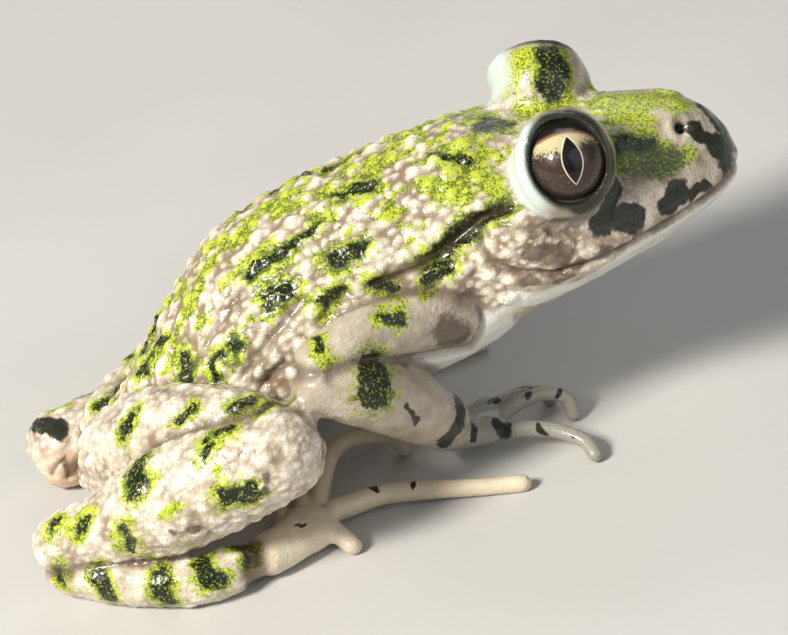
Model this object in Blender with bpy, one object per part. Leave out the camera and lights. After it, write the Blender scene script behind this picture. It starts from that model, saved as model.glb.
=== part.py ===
"""A common parsley frog at life size, sitting on a flat floor with its head raised.

The frog faces +X, its left side is +Y and the floor is z = 0. Sizes are in millimetres while the
forms are modelled, and the finished nodes are brought to metres by the last function.
"""

import math

import bmesh
import bpy
import numpy as np
from mathutils import Matrix, Vector

MM = 0.001
GAP = 0.3
SIDES = {"right": -1.0, "left": 1.0}

# Middle of the whole frog's length and width, limbs included, which becomes x = 0 and y = 0
LENGTH_MIDDLE = 18.4
WIDTH_MIDDLE = 2.2

# Trunk sections from vent to nape: back x, back z, belly x, belly z, half width, lean to the back
TRUNK = [
    (0.3, 3.0, 0.9, 1.5, 1.2, 0.0),
    (1.4, 4.2, 2.2, 0.7, 2.4, 0.0),
    (3.0, 6.0, 4.2, 0.8, 3.4, 0.0),
    (5.2, 8.4, 6.8, 1.6, 4.3, 0.05),
    (8.0, 11.7, 9.6, 2.7, 5.4, 0.08),
    (11.0, 14.5, 12.4, 3.6, 6.2, 0.10),
    (14.4, 15.9, 15.4, 4.3, 6.6, 0.10),
    (18.0, 16.8, 18.6, 4.8, 6.6, 0.10),
    (21.4, 17.6, 21.8, 5.2, 6.2, 0.12),
    (24.6, 18.1, 24.8, 6.2, 5.9, 0.15),
    (27.4, 17.8, 27.4, 8.0, 5.4, 0.15),
]
TRUNK_SQUARE = 2.15

# Upper head sections from nape to snout tip: x, top z, bottom z, half width, lean to the top
SKULL = [
    (23.2, 17.3, 9.8, 5.4, 0.10),
    (25.0, 17.6, 9.6, 6.1, 0.20),
    (27.4, 17.6, 9.6, 6.4, 0.30),
    (30.0, 17.3, 9.9, 6.2, 0.36),
    (32.6, 17.3, 10.2, 5.3, 0.38),
    (35.0, 17.0, 10.4, 4.2, 0.34),
    (37.0, 16.4, 10.6, 3.15, 0.28),
    (38.4, 15.3, 11.0, 2.1, 0.20),
    (39.2, 14.0, 11.6, 1.1, 0.10),
]
SKULL_SQUARE = 2.5

# Lower jaw and throat sections: x, top z, bottom z, half width, lean to the top
JAW = [
    (23.2, 13.0, 5.9, 5.2, -0.15),
    (25.0, 13.3, 6.6, 5.9, -0.20),
    (27.4, 13.4, 7.7, 6.2, -0.22),
    (30.0, 13.4, 8.5, 6.0, -0.22),
    (32.6, 13.4, 9.0, 5.1, -0.22),
    (35.0, 13.3, 9.5, 4.0, -0.20),
    (37.0, 13.2, 10.2, 2.95, -0.18),
    (38.4, 13.0, 11.0, 1.85, -0.10),
    (38.9, 12.7, 11.6, 1.0, 0.0),
]
JAW_SQUARE = 2.2

# The right eye: ball centre and radius, the way it looks, the radius of the opening between the lids,
# and how far out from the ball's centre the lids' rims stand
EYE_CENTRE = (30.05, -4.5, 17.15)
EYE_RADIUS = 2.2
EYE_LOOK = (0.124, -0.858, 0.50)
EYE_OPENING = 2.0
LID_STAND = 1.25

# The swollen rim of the lids: ring radius, thickness radius, and distance out from the ball's centre
LID_RING = (2.25, 0.42, 0.62)

# What is cut away in front of each eye: depth of the opening, and half width and depth of the clearing
OPENING_DEPTH = 6.0
CLEARING_HALF = 3.4
CLEARING_DEPTH = 8.0

# Right-side swellings of the head, as centre and radii, and the nostril pit, as centre and radius
SOCKET_BULGE = ((30.05, -4.0, 16.7), (2.75, 2.95, 3.2))
CHEEK_BULGE = ((27.2, -5.3, 13.7), (2.9, 1.5, 1.9))
NOSTRIL = ((36.7, -1.75, 15.75), 0.34)

# The mouth line seen from the side, and the plane between head and trunk
MOUTH_LINE = [(22.0, 14.9), (24.3, 13.7), (25.3, 12.7), (27.0, 12.15), (31.0, 12.1), (42.0, 12.25)]
NECK_TOP = (26.2, 20.0)
NECK_FOOT = (24.0, 4.0)

# Limb sections: x, y, z, half width, half height, on the right side of the body
UPPER_ARM = [
    (22.6, -4.4, 10.3, 2.0, 2.35),
    (19.6, -6.1, 11.0, 1.65, 1.85),
    (16.9, -7.3, 11.4, 1.4, 1.45),
    (14.8, -8.1, 10.9, 1.4, 1.4),
]
FOREARM = [
    (14.6, -8.5, 9.9, 1.55, 1.7),
    (16.6, -8.0, 8.65, 2.0, 2.0),
    (18.8, -6.5, 6.0, 2.0, 1.9),
    (20.4, -4.8, 3.4, 1.65, 1.65),
]
PALM = [
    (20.2, -4.2, 2.3, 1.4, 1.1),
    (21.8, -3.6, 1.7, 1.75, 0.85),
    (23.2, -3.2, 1.5, 1.9, 0.7),
]
THIGH = [
    (3.4, -2.6, 4.6, 2.6, 2.9),
    (6.2, -5.2, 6.6, 2.8, 3.1),
    (9.2, -8.0, 7.7, 2.5, 2.8),
    (11.6, -10.3, 8.0, 2.3, 2.4),
]
SHANK = [
    (11.6, -10.7, 7.9, 2.6, 2.7),
    (8.6, -10.2, 6.9, 2.7, 2.95),
    (5.2, -9.3, 5.5, 2.6, 2.9),
    (1.7, -8.1, 3.9, 1.9, 2.1),
    (-0.8, -7.1, 2.8, 1.8, 2.0),
]
TARSUS = [
    (-0.9, -7.2, 1.75, 1.6, 1.7),
    (2.1, -9.5, 1.4, 1.4, 1.4),
    (5.8, -11.0, 1.3, 1.35, 1.35),
    (8.6, -10.4, 1.25, 1.4, 1.3),
]
SOLE = [
    (8.4, -10.5, 1.2, 1.35, 1.2),
    (10.6, -9.4, 1.05, 1.5, 1.05),
    (12.5, -7.9, 0.95, 2.0, 0.95),
]

# Digits of the right side: x, y, z, radius, from the root to the tip
FINGERS = [
    [(22.2, -1.7, 1.3, 0.45), (22.9, -0.7, 1.0, 0.42), (23.3, 0.2, 0.38, 0.44)],
    [(23.4, -2.0, 1.6, 0.45), (24.9, -1.3, 1.5, 0.42), (26.0, -0.9, 1.1, 0.40), (26.6, -0.8, 0.38, 0.44)],
    [
        (23.6, -3.1, 1.6, 0.48),
        (25.0, -2.6, 1.9, 0.45),
        (26.5, -2.3, 1.8, 0.42),
        (27.5, -2.5, 1.2, 0.42),
        (27.6, -2.8, 0.40, 0.46),
    ],
    [
        (23.3, -4.3, 1.4, 0.50),
        (24.9, -4.8, 1.5, 0.47),
        (26.4, -5.3, 1.25, 0.44),
        (27.7, -6.3, 0.85, 0.44),
        (28.1, -7.2, 0.40, 0.46),
    ],
]
TOES = [
    [(10.8, -7.2, 0.9, 0.48), (10.8, -5.9, 0.75, 0.46), (11.1, -4.7, 0.40, 0.48)],
    [(12.0, -6.6, 1.0, 0.5), (12.3, -5.0, 1.0, 0.47), (12.7, -3.4, 0.8, 0.45), (13.3, -2.0, 0.40, 0.48)],
    [
        (13.0, -6.3, 1.2, 0.55),
        (13.5, -4.7, 1.6, 0.52),
        (14.2, -3.3, 2.0, 0.5),
        (15.3, -2.6, 2.2, 0.48),
        (16.6, -2.5, 2.0, 0.48),
        (17.6, -2.2, 1.3, 0.48),
        (18.1, -2.1, 0.46, 0.53),
    ],
    [
        (13.7, -7.4, 1.1, 0.65),
        (16.3, -6.7, 0.9, 0.6),
        (19.0, -7.1, 0.7, 0.55),
        (21.6, -7.7, 0.5, 0.5),
        (23.9, -8.2, 0.42, 0.5),
    ],
    [(13.3, -8.8, 0.9, 0.6), (13.8, -9.5, 0.7, 0.55), (14.2, -10.1, 0.45, 0.54)],
]

# The left limbs, which the body hides in the photo: sections as above
LEFT_UPPER_ARM = [
    (21.8, 4.4, 10.3, 2.0, 2.3),
    (19.2, 6.4, 10.1, 1.9, 2.1),
    (16.8, 7.9, 9.6, 1.7, 1.85),
    (14.8, 8.7, 9.0, 1.65, 1.7),
]
LEFT_FOREARM = [
    (14.8, 8.7, 8.6, 1.5, 1.55),
    (15.6, 9.4, 6.9, 1.7, 1.7),
    (16.8, 10.2, 4.8, 1.7, 1.7),
    (18.1, 10.9, 3.0, 1.55, 1.55),
]
LEFT_THIGH = [
    (3.2, 2.4, 3.8, 2.2, 2.2),
    (6.8, 5.0, 4.7, 2.3, 2.3),
    (10.6, 8.4, 5.2, 2.1, 2.1),
]
LEFT_SHANK = [
    (10.8, 8.8, 4.8, 2.3, 2.3),
    (8.0, 7.3, 3.6, 2.3, 2.3),
    (5.0, 5.7, 2.6, 2.05, 2.05),
    (2.0, 4.8, 2.4, 1.85, 1.85),
    (-0.6, 3.9, 2.4, 1.85, 1.85),
]
LEFT_TARSUS = [
    (-0.4, 3.3, 1.6, 1.65, 1.65),
    (1.4, 6.9, 1.4, 1.35, 1.35),
    (5.2, 9.0, 1.3, 1.3, 1.3),
    (8.6, 9.6, 1.25, 1.35, 1.25),
]

# The left hand and foot are the mirrored right ones: pivot x and y, turn in degrees, new pivot x and y
LEFT_HAND_SET = ((20.2, 4.4), 30.0, (18.3, 10.9))
LEFT_FOOT_SET = ((8.6, 10.4), -4.0, (8.6, 9.6))

# Trunk, skull and jaw: sides and steps of their forms, how far their round ends stand out past the last
# sections, and how they are grown together: voxel size, rounds of smoothing and number of triangles
CORE_SIDES = 36
CORE_STEPS = 3
CORE_TIP = 0.35
CORE_VOXEL = 0.28
CORE_SMOOTH = 6
CORE_TRIANGLES = 3900

# Limbs: sides, steps along each stretch, and the turns of the two rings that round off each end
LIMB_SIDES = 12
DIGIT_SIDES = 8
LIMB_STEPS = 2
END_TURNS = (65, 35)

# Sides round and up each kind of ball, and round and across the lid ring
BULGE_SIDES = (20, 12)
EYE_SIDES = (18, 10)
NOSTRIL_SIDES = (10, 8)
RING_SIDES = (24, 8)

# A distance past the ends of every form
FAR = 60.0

SKIN_ROUGHNESS = 0.35
EYE_ROUGHNESS = 0.05
SMOOTH_LIMIT = math.radians(45)

SKIN_PALE = (0.62, 0.56, 0.46)
SKIN_GREEN = (0.42, 0.50, 0.10)
SKIN_BELLY = (0.80, 0.78, 0.70)
SKIN_LIMB = (0.54, 0.47, 0.36)
SKIN_GREY = (0.40, 0.38, 0.32)
EYE_DARK = (0.10, 0.06, 0.03)


def spline(rows, steps):
    """The rows read from one smooth curve through them all, steps to each stretch."""
    rows = np.asarray(rows, float)
    ends = np.vstack([2 * rows[0] - rows[1], rows, 2 * rows[-1] - rows[-2]])
    found = []
    for i in range(len(rows) - 1):
        a, b, c, d = ends[i : i + 4]
        for k in range(steps):
            t = k / steps
            bend = (2 * a - 5 * b + 4 * c - d) * t * t + (3 * b - a - 3 * c + d) * t**3
            found.append(0.5 * (2 * b + (c - a) * t + bend))
    found.append(rows[-1])
    return np.array(found)


def unit(v):
    return v / np.linalg.norm(v, axis=-1, keepdims=True)


def bm_object(name, bm):
    """The finished bmesh as an object in the scene."""
    mesh = bpy.data.meshes.new(name)
    bm.to_mesh(mesh)
    bm.free()
    obj = bpy.data.objects.new(name, mesh)
    bpy.context.scene.collection.objects.link(obj)
    return obj


def mesh_object(name, points, faces):
    """The points and faces as an object, its faces pointing out."""
    bm = bmesh.new()
    verts = [bm.verts.new(p) for p in points]
    for face in faces:
        bm.faces.new([verts[i] for i in face])
    bmesh.ops.recalc_face_normals(bm, faces=bm.faces)
    return bm_object(name, bm)


def skinned(name, rings, tips):
    """One closed mesh over a row of rings, each end drawn to its tip."""
    count, around = rings.shape[:2]
    points = [tuple(p) for ring in rings for p in ring] + [tuple(t) for t in tips]
    faces = []
    for i in range(count - 1):
        for j in range(around):
            k = (j + 1) % around
            faces.append((i * around + j, i * around + k, (i + 1) * around + k, (i + 1) * around + j))
    first, last = len(points) - 2, len(points) - 1
    for j in range(around):
        k = (j + 1) % around
        faces.append((first, k, j))
        faces.append((last, (count - 1) * around + j, (count - 1) * around + k))
    return mesh_object(name, points, faces)


def tube(name, rows, sides, grow):
    """A limb: oval sections along a smooth path, with round ends, stood out by grow."""
    path = spline([r if len(r) == 5 else (*r, r[3]) for r in rows], LIMB_STEPS)
    centre, wide, high = path[:, :3], path[:, 3] + grow, path[:, 4] + grow
    along = unit(np.gradient(centre, axis=0))
    across = unit(np.cross(along, (0.0, 0.0, 1.0)))
    upward = np.cross(across, along)
    angle = np.linspace(0, 2 * math.pi, sides, endpoint=False)

    def ring(i, reach, share):
        middle = centre[i] + along[i] * reach
        return (
            middle
            + np.outer(np.cos(angle) * wide[i] * share, across[i])
            + np.outer(np.sin(angle) * high[i] * share, upward[i])
        )

    caps = [math.radians(a) for a in END_TURNS]
    ends = [min(wide[0], high[0]), min(wide[-1], high[-1])]
    rings = [ring(0, -ends[0] * math.sin(a), math.cos(a)) for a in caps]
    rings += [ring(i, 0.0, 1.0) for i in range(len(path))]
    rings += [ring(-1, ends[1] * math.sin(a), math.cos(a)) for a in reversed(caps)]
    tips = [centre[0] - along[0] * ends[0], centre[-1] + along[-1] * ends[1]]
    return skinned(name, np.array(rings), tips)


def sections(name, rows, square):
    """Trunk, skull or jaw: squared ovals, each from a point above to one below, symmetric about y = 0."""
    path = spline(rows, CORE_STEPS)
    above = np.stack([path[:, 0], 0 * path[:, 0], path[:, 1]], axis=1)
    below = np.stack([path[:, 2], 0 * path[:, 0], path[:, 3]], axis=1)
    angle = np.linspace(0, 2 * math.pi, CORE_SIDES, endpoint=False)
    rise = np.sign(np.sin(angle)) * np.abs(np.sin(angle)) ** (2 / square)
    reach = np.sign(np.cos(angle)) * np.abs(np.cos(angle)) ** (2 / square)
    rings = []
    for top, foot, row in zip(above, below, path):
        across = row[4] * reach * (1 - row[5] * rise)
        ring = (top + foot) / 2 + np.outer(rise, (top - foot) / 2)
        ring[:, 1] += across
        rings.append(ring)
    middle = (above + below) / 2
    tips = [
        middle[0] + unit(middle[0] - middle[1]) * CORE_TIP,
        middle[-1] + unit(middle[-1] - middle[-2]) * CORE_TIP,
    ]
    return skinned(name, np.array(rings), tips)


def upright(rows):
    """Head rows, whose sections stand upright, in the form that sections takes."""
    return [(x, top, x, foot, half, lean) for x, top, foot, half, lean in rows]


def ball(name, centre, radii, sides):
    bm = bmesh.new()
    bmesh.ops.create_uvsphere(bm, u_segments=sides[0], v_segments=sides[1], radius=1.0)
    bmesh.ops.scale(bm, vec=radii, verts=bm.verts)
    bmesh.ops.translate(bm, vec=centre, verts=bm.verts)
    return bm_object(name, bm)


def box(name, low, high):
    low, high = Vector(low), Vector(high)
    bm = bmesh.new()
    bmesh.ops.create_cube(bm, size=1.0)
    bmesh.ops.scale(bm, vec=high - low, verts=bm.verts)
    bmesh.ops.translate(bm, vec=(low + high) / 2, verts=bm.verts)
    return bm_object(name, bm)


def prism(name, outline, half_width):
    """An outline of x and z points, drawn from -half_width to +half_width along Y."""
    count = len(outline)
    points = [(x, y, z) for y in (-half_width, half_width) for x, z in outline]
    faces = [tuple(range(count)), tuple(range(2 * count - 1, count - 1, -1))]
    for i in range(count):
        j = (i + 1) % count
        faces.append((i, count + i, count + j, j))
    return mesh_object(name, points, faces)


def apply_modifiers(obj):
    graph = bpy.context.evaluated_depsgraph_get()
    mesh = bpy.data.meshes.new_from_object(obj.evaluated_get(graph))
    old = obj.data
    obj.modifiers.clear()
    obj.data = mesh
    bpy.data.meshes.remove(old)
    return obj


def boolean(obj, cutter, operation, keep_cutter=False):
    step = obj.modifiers.new(operation.lower(), "BOOLEAN")
    step.operation = operation
    step.solver = "EXACT"
    step.object = cutter
    bpy.context.view_layer.update()
    apply_modifiers(obj)
    if not keep_cutter:
        bpy.data.objects.remove(cutter)
    return obj


def copy_of(obj, name):
    twin = bpy.data.objects.new(name, obj.data.copy())
    bpy.context.scene.collection.objects.link(twin)
    return twin


def grown_together(name, pieces):
    """Overlapping forms as one smooth closed surface of about CORE_TRIANGLES triangles."""
    bm = bmesh.new()
    for piece in pieces:
        bm.from_mesh(piece.data)
        bpy.data.objects.remove(piece)
    obj = bm_object(name, bm)
    remesh = obj.modifiers.new("remesh", "REMESH")
    remesh.mode = "VOXEL"
    remesh.voxel_size = CORE_VOXEL
    soften = obj.modifiers.new("soften", "SMOOTH")
    soften.factor = 0.5
    soften.iterations = CORE_SMOOTH
    obj.modifiers.new("three_sides", "TRIANGULATE")
    apply_modifiers(obj)
    thin = obj.modifiers.new("thin", "DECIMATE")
    thin.ratio = min(1.0, CORE_TRIANGLES / len(obj.data.polygons))
    return apply_modifiers(obj)


def grown(obj, name, reach):
    """A copy whose surface stands out by reach all over."""
    twin = copy_of(obj, name)
    swell = twin.modifiers.new("swell", "DISPLACE")
    swell.mid_level = 0.0
    swell.strength = reach
    return apply_modifiers(twin)


def largest_body(obj):
    """Keeps only the largest closed surface of the object."""
    bm = bmesh.new()
    bm.from_mesh(obj.data)
    left, bodies = set(bm.verts), []
    while left:
        stack, body = [left.pop()], set()
        while stack:
            vert = stack.pop()
            body.add(vert)
            for edge in vert.link_edges:
                other = edge.other_vert(vert)
                if other in left:
                    left.remove(other)
                    stack.append(other)
        bodies.append(body)
    keep = max(bodies, key=len)
    bmesh.ops.delete(bm, geom=[v for v in bm.verts if v not in keep], context="VERTS")
    bm.to_mesh(obj.data)
    bm.free()
    return obj


def cut_at_floor(obj):
    """A small flat at z = 0 on what presses on the floor."""
    if min(v.co.z for v in obj.data.vertices) < 0.0:
        boolean(obj, box("below", (-FAR, -FAR, -FAR), (FAR, FAR, 0)), "DIFFERENCE")
    return obj


def material(name, colour, roughness):
    made = bpy.data.materials.new(name)
    made.use_nodes = True
    shader = made.node_tree.nodes["Principled BSDF"]
    shader.inputs["Base Color"].default_value = (*colour, 1.0)
    shader.inputs["Roughness"].default_value = roughness
    shader.inputs["Metallic"].default_value = 0.0
    return made


def set_left(rows, pivot, turn, goal):
    """Right-side rows mirrored to the left, turned about the pivot and moved with it."""
    c, s = math.cos(math.radians(turn)), math.sin(math.radians(turn))
    found = []
    for x, y, *rest in rows:
        dx, dy = x - pivot[0], -y - pivot[1]
        found.append((goal[0] + c * dx - s * dy, goal[1] + s * dx + c * dy, *rest))
    return found


def limb_rows(side):
    """The rows of every limb piece on one side, by name."""
    if side == "right":
        rows = {"upper_arm": UPPER_ARM, "forearm": FOREARM, "palm": PALM, "thigh": THIGH, "shank": SHANK}
        rows |= {"tarsus": TARSUS, "sole": SOLE}
        rows |= {f"finger_{i + 1}": path for i, path in enumerate(FINGERS)}
        return rows | {f"toe_{i + 1}": path for i, path in enumerate(TOES)}
    rows = {"upper_arm": LEFT_UPPER_ARM, "forearm": LEFT_FOREARM, "thigh": LEFT_THIGH}
    rows |= {"shank": LEFT_SHANK, "tarsus": LEFT_TARSUS}
    rows |= {"palm": set_left(PALM, *LEFT_HAND_SET), "sole": set_left(SOLE, *LEFT_FOOT_SET)}
    rows |= {f"finger_{i + 1}": set_left(path, *LEFT_HAND_SET) for i, path in enumerate(FINGERS)}
    return rows | {f"toe_{i + 1}": set_left(path, *LEFT_FOOT_SET) for i, path in enumerate(TOES)}


# Which pieces each limb piece gives way to, by name on the same side
GIVES_WAY = {
    "upper_arm": ["trunk"],
    "forearm": ["upper_arm", "trunk"],
    "palm": ["forearm"],
    "thigh": ["trunk", "shank"],
    "shank": ["trunk"],
    "tarsus": ["shank"],
    "sole": ["tarsus", "shank"],
}
GIVES_WAY |= {f"finger_{i}": ["palm"] for i in range(1, 5)}
GIVES_WAY |= {f"toe_{i}": ["sole"] for i in range(1, 6)}


def is_digit(piece):
    return piece.startswith(("toe", "finger"))


def limb_tube(name, piece, path, grow=0.0):
    return tube(name, path, DIGIT_SIDES if is_digit(piece) else LIMB_SIDES, grow)


def eye_centre(sign):
    """The middle of an eyeball: sign -1 for the right side."""
    return EYE_CENTRE[0], EYE_CENTRE[1] * -sign, EYE_CENTRE[2]


def at_eye(obj, sign):
    """Brings a form made about the look axis Z to its place in the head."""
    look = Vector((EYE_LOOK[0], EYE_LOOK[1] * -sign, EYE_LOOK[2]))
    turn = look.to_track_quat("Z", "Y").to_matrix().to_4x4()
    obj.data.transform(Matrix.Translation(eye_centre(sign)) @ turn)
    return obj


def lid_ring(sign):
    """The thick rim of skin round one eye."""
    across, thick, out = LID_RING
    count, around = RING_SIDES
    points, faces = [], []
    for i in range(count):
        a = i * 2 * math.pi / count
        for j in range(around):
            b = j * 2 * math.pi / around
            reach = across + thick * math.cos(b)
            points.append((reach * math.cos(a), reach * math.sin(a), out + thick * math.sin(b)))
            k, m = (i + 1) % count, (j + 1) % around
            faces.append((i * around + j, k * around + j, k * around + m, i * around + m))
    return at_eye(mesh_object("lid_ring", points, faces), sign)


def core_form():
    """Trunk, head and jaw with the eye sockets and cheeks, grown into one."""
    pieces = [
        sections("trunk_form", TRUNK, TRUNK_SQUARE),
        sections("skull_form", upright(SKULL), SKULL_SQUARE),
        sections("jaw_form", upright(JAW), JAW_SQUARE),
    ]
    for sign in SIDES.values():
        for (x, y, z), radii in (SOCKET_BULGE, CHEEK_BULGE):
            pieces.append(ball("bulge", (x, y * -sign, z), radii, BULGE_SIDES))
        pieces.append(lid_ring(sign))
    return grown_together("core", pieces)


def neck_side(name, front, shift):
    """All that lies in front of the neck plane, or behind it, the plane moved along x by shift."""
    (tx, tz), (fx, fz) = NECK_TOP, NECK_FOOT
    edge = [(fx + shift, -FAR), (fx + shift, fz), (tx + shift, tz), (tx + shift, FAR)]
    far = FAR if front else -FAR
    return prism(name, edge + [(far, FAR), (far, -FAR)], FAR)


def below_mouth(name, shift):
    """All that lies under the mouth line, the line moved up by shift."""
    line = [(x, z + shift) for x, z in MOUTH_LINE]
    return prism(name, line + [(line[-1][0], -FAR), (line[0][0], -FAR)], FAR)


def head_and_trunk(core):
    """The core parted into trunk, lower jaw and head by thin cuts."""
    trunk, jaw, head = copy_of(core, "trunk"), copy_of(core, "lower_jaw"), core
    head.name = "head"
    boolean(trunk, neck_side("behind", False, -GAP / 2), "INTERSECT")
    for piece in (jaw, head):
        boolean(piece, neck_side("ahead", True, GAP / 2), "INTERSECT")
    boolean(jaw, below_mouth("mouth_low", -GAP / 2), "INTERSECT")
    boolean(head, below_mouth("mouth_high", GAP / 2), "DIFFERENCE")
    return trunk, jaw, head


def eye_opening(sign):
    """A round opening from the eye's middle outwards."""
    bm = bmesh.new()
    bmesh.ops.create_cone(
        bm,
        cap_ends=True,
        segments=RING_SIDES[0],
        radius1=EYE_OPENING,
        radius2=EYE_OPENING,
        depth=OPENING_DEPTH,
    )
    bmesh.ops.translate(bm, vec=(0, 0, OPENING_DEPTH / 2), verts=bm.verts)
    return at_eye(bm_object("opening", bm), sign)


def lid_clearing(sign):
    """A box whose near face is the plane of the lids' rims."""
    half, far = CLEARING_HALF, LID_STAND + CLEARING_DEPTH
    return at_eye(box("clearing", (-half, -half, LID_STAND), (half, half, far)), sign)


def fit_eyes(head):
    """Sockets cut in the head and the two eyeballs set in them."""
    eyes = {}
    for side, sign in SIDES.items():
        centre = eye_centre(sign)
        boolean(head, lid_clearing(sign), "DIFFERENCE")
        boolean(head, eye_opening(sign), "DIFFERENCE")
        boolean(head, ball("socket", centre, (EYE_RADIUS + GAP,) * 3, BULGE_SIDES), "DIFFERENCE")
        eyes[side] = ball(f"eye_{side}", centre, (EYE_RADIUS,) * 3, EYE_SIDES)
    return eyes


def drill_nostrils(head):
    (x, y, z), radius = NOSTRIL
    for sign in SIDES.values():
        boolean(head, ball("nostril", (x, y * -sign, z), (radius,) * 3, NOSTRIL_SIDES), "DIFFERENCE")


def limbs(trunk):
    """Every limb piece on both sides, each cut clear of the ones that it gives way to."""
    wide_trunk = grown(trunk, "wide_trunk", GAP)
    found = {}
    for side in SIDES:
        rows = limb_rows(side)
        for piece, path in rows.items():
            obj = limb_tube(f"{piece}_{side}", piece, path)
            for other in GIVES_WAY[piece]:
                if other == "trunk":
                    boolean(obj, wide_trunk, "DIFFERENCE", keep_cutter=True)
                else:
                    boolean(obj, limb_tube("cutter", other, rows[other], GAP), "DIFFERENCE")
            found[obj.name] = largest_body(cut_at_floor(obj))
    bpy.data.objects.remove(wide_trunk)
    return found


def finished(obj, look):
    """In metres, about the frog's own middle, with its material and smooth shading."""
    obj.data.transform(Matrix.Scale(MM, 4) @ Matrix.Translation((-LENGTH_MIDDLE, -WIDTH_MIDDLE, 0)))
    obj.data.materials.clear()
    obj.data.materials.append(look)
    obj.data.shade_smooth()
    obj.data.set_sharp_from_angle(angle=SMOOTH_LIMIT)


def main():
    for obj in list(bpy.data.objects):
        bpy.data.objects.remove(obj)
    trunk, jaw, head = head_and_trunk(core_form())
    eyes = fit_eyes(head)
    drill_nostrils(head)
    trunk = largest_body(cut_at_floor(trunk))
    limb = limbs(trunk)
    looks = {
        "back_skin": material("back_skin", SKIN_PALE, SKIN_ROUGHNESS),
        "head_skin": material("head_skin", SKIN_GREEN, SKIN_ROUGHNESS),
        "throat_skin": material("throat_skin", SKIN_BELLY, SKIN_ROUGHNESS),
        "limb_skin": material("limb_skin", SKIN_LIMB, SKIN_ROUGHNESS),
        "digit_skin": material("digit_skin", SKIN_GREY, SKIN_ROUGHNESS),
        "eye_gloss": material("eye_gloss", EYE_DARK, EYE_ROUGHNESS),
    }
    trunk.name = "trunk"
    finished(trunk, looks["back_skin"])
    finished(largest_body(head), looks["head_skin"])
    finished(largest_body(jaw), looks["throat_skin"])
    for eye in eyes.values():
        finished(eye, looks["eye_gloss"])
    for name, obj in limb.items():
        digit = name.startswith(("finger", "toe", "palm", "sole"))
        finished(obj, looks["digit_skin" if digit else "limb_skin"])


main()
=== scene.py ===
"""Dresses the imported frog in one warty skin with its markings, gives it eyes and sets it in a studio.

The forms are modelled in millimetres with x = 0 near the heel, as the part's source has them, and
brought to the frame's metres at the end.
"""

import math

import bmesh
import bpy
import numpy as np
from bpy.props import FloatProperty, FloatVectorProperty, PointerProperty
from mathutils import Matrix, Vector, kdtree, noise


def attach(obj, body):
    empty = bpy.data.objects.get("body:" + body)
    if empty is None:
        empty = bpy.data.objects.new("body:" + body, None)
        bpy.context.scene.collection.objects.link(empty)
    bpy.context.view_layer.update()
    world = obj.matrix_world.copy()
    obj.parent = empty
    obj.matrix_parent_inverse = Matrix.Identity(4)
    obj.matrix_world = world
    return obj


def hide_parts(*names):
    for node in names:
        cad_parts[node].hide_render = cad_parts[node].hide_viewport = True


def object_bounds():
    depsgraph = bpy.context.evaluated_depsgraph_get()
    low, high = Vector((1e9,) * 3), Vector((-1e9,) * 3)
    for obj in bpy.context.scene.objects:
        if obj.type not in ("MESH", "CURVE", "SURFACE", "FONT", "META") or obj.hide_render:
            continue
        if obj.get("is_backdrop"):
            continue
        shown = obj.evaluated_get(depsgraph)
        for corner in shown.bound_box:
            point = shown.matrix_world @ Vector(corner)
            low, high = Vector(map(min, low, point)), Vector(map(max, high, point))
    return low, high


bl_info = {
    "name": "Parsley Frog",
    "version": (1, 0, 0),
    "blender": (4, 5, 0),
    "location": "3D View > Sidebar > Frog",
    "description": "Skin, eyes and studio for the packed frog",
    "category": "Object",
}

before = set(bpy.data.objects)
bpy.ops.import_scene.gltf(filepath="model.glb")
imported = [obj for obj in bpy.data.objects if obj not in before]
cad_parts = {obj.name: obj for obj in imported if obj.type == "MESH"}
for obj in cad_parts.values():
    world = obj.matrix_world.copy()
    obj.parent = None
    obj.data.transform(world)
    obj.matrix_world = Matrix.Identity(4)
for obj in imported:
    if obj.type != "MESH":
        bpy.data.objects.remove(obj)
CAD_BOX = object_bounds()

MM = 0.001

# Middle of the whole frog's length and width, which becomes x = 0 and y = 0
FROG_MIDDLE = Vector((-18.4, -2.2, 0.0))
TO_FRAME = Matrix.Scale(MM, 4) @ Matrix.Translation(FROG_MIDDLE)
SIDES = {"right": -1.0, "left": 1.0}

# The least length that anything is divided by
TINY = 1e-9

# Trunk sections from vent to nape: back x, back z, belly x, belly z, half width, lean to the back. The
# number after this table, and after the next two, says how square the sections are, where 2 is an oval.
TRUNK = [
    (0.3, 3.0, 0.9, 1.5, 1.2, 0.0),
    (1.4, 4.2, 2.2, 0.7, 2.4, 0.0),
    (3.0, 6.0, 4.2, 0.8, 3.4, 0.0),
    (5.2, 8.4, 6.8, 1.6, 4.3, 0.05),
    (8.0, 11.7, 9.6, 2.7, 5.4, 0.08),
    (11.0, 14.5, 12.4, 3.6, 6.2, 0.10),
    (14.4, 15.9, 15.4, 4.3, 6.6, 0.10),
    (18.0, 16.8, 18.6, 4.8, 6.6, 0.10),
    (21.4, 17.6, 21.8, 5.2, 6.2, 0.12),
    (24.6, 18.1, 24.8, 6.2, 5.9, 0.15),
    (27.4, 17.8, 27.4, 8.0, 5.4, 0.15),
]
TRUNK_SQUARE = 2.15

# Upper head sections from nape to snout tip: x, top z, bottom z, half width, lean to the top
SKULL = [
    (23.2, 17.3, 9.8, 5.4, 0.10),
    (25.0, 17.6, 9.6, 6.1, 0.20),
    (27.4, 17.6, 9.6, 6.4, 0.30),
    (30.0, 17.3, 9.9, 6.2, 0.36),
    (32.6, 17.3, 10.2, 5.3, 0.38),
    (35.0, 17.0, 10.4, 4.2, 0.34),
    (37.0, 16.4, 10.6, 3.15, 0.28),
    (38.4, 15.3, 11.0, 2.1, 0.20),
    (39.2, 14.0, 11.6, 1.1, 0.10),
]
SKULL_SQUARE = 2.5

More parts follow.
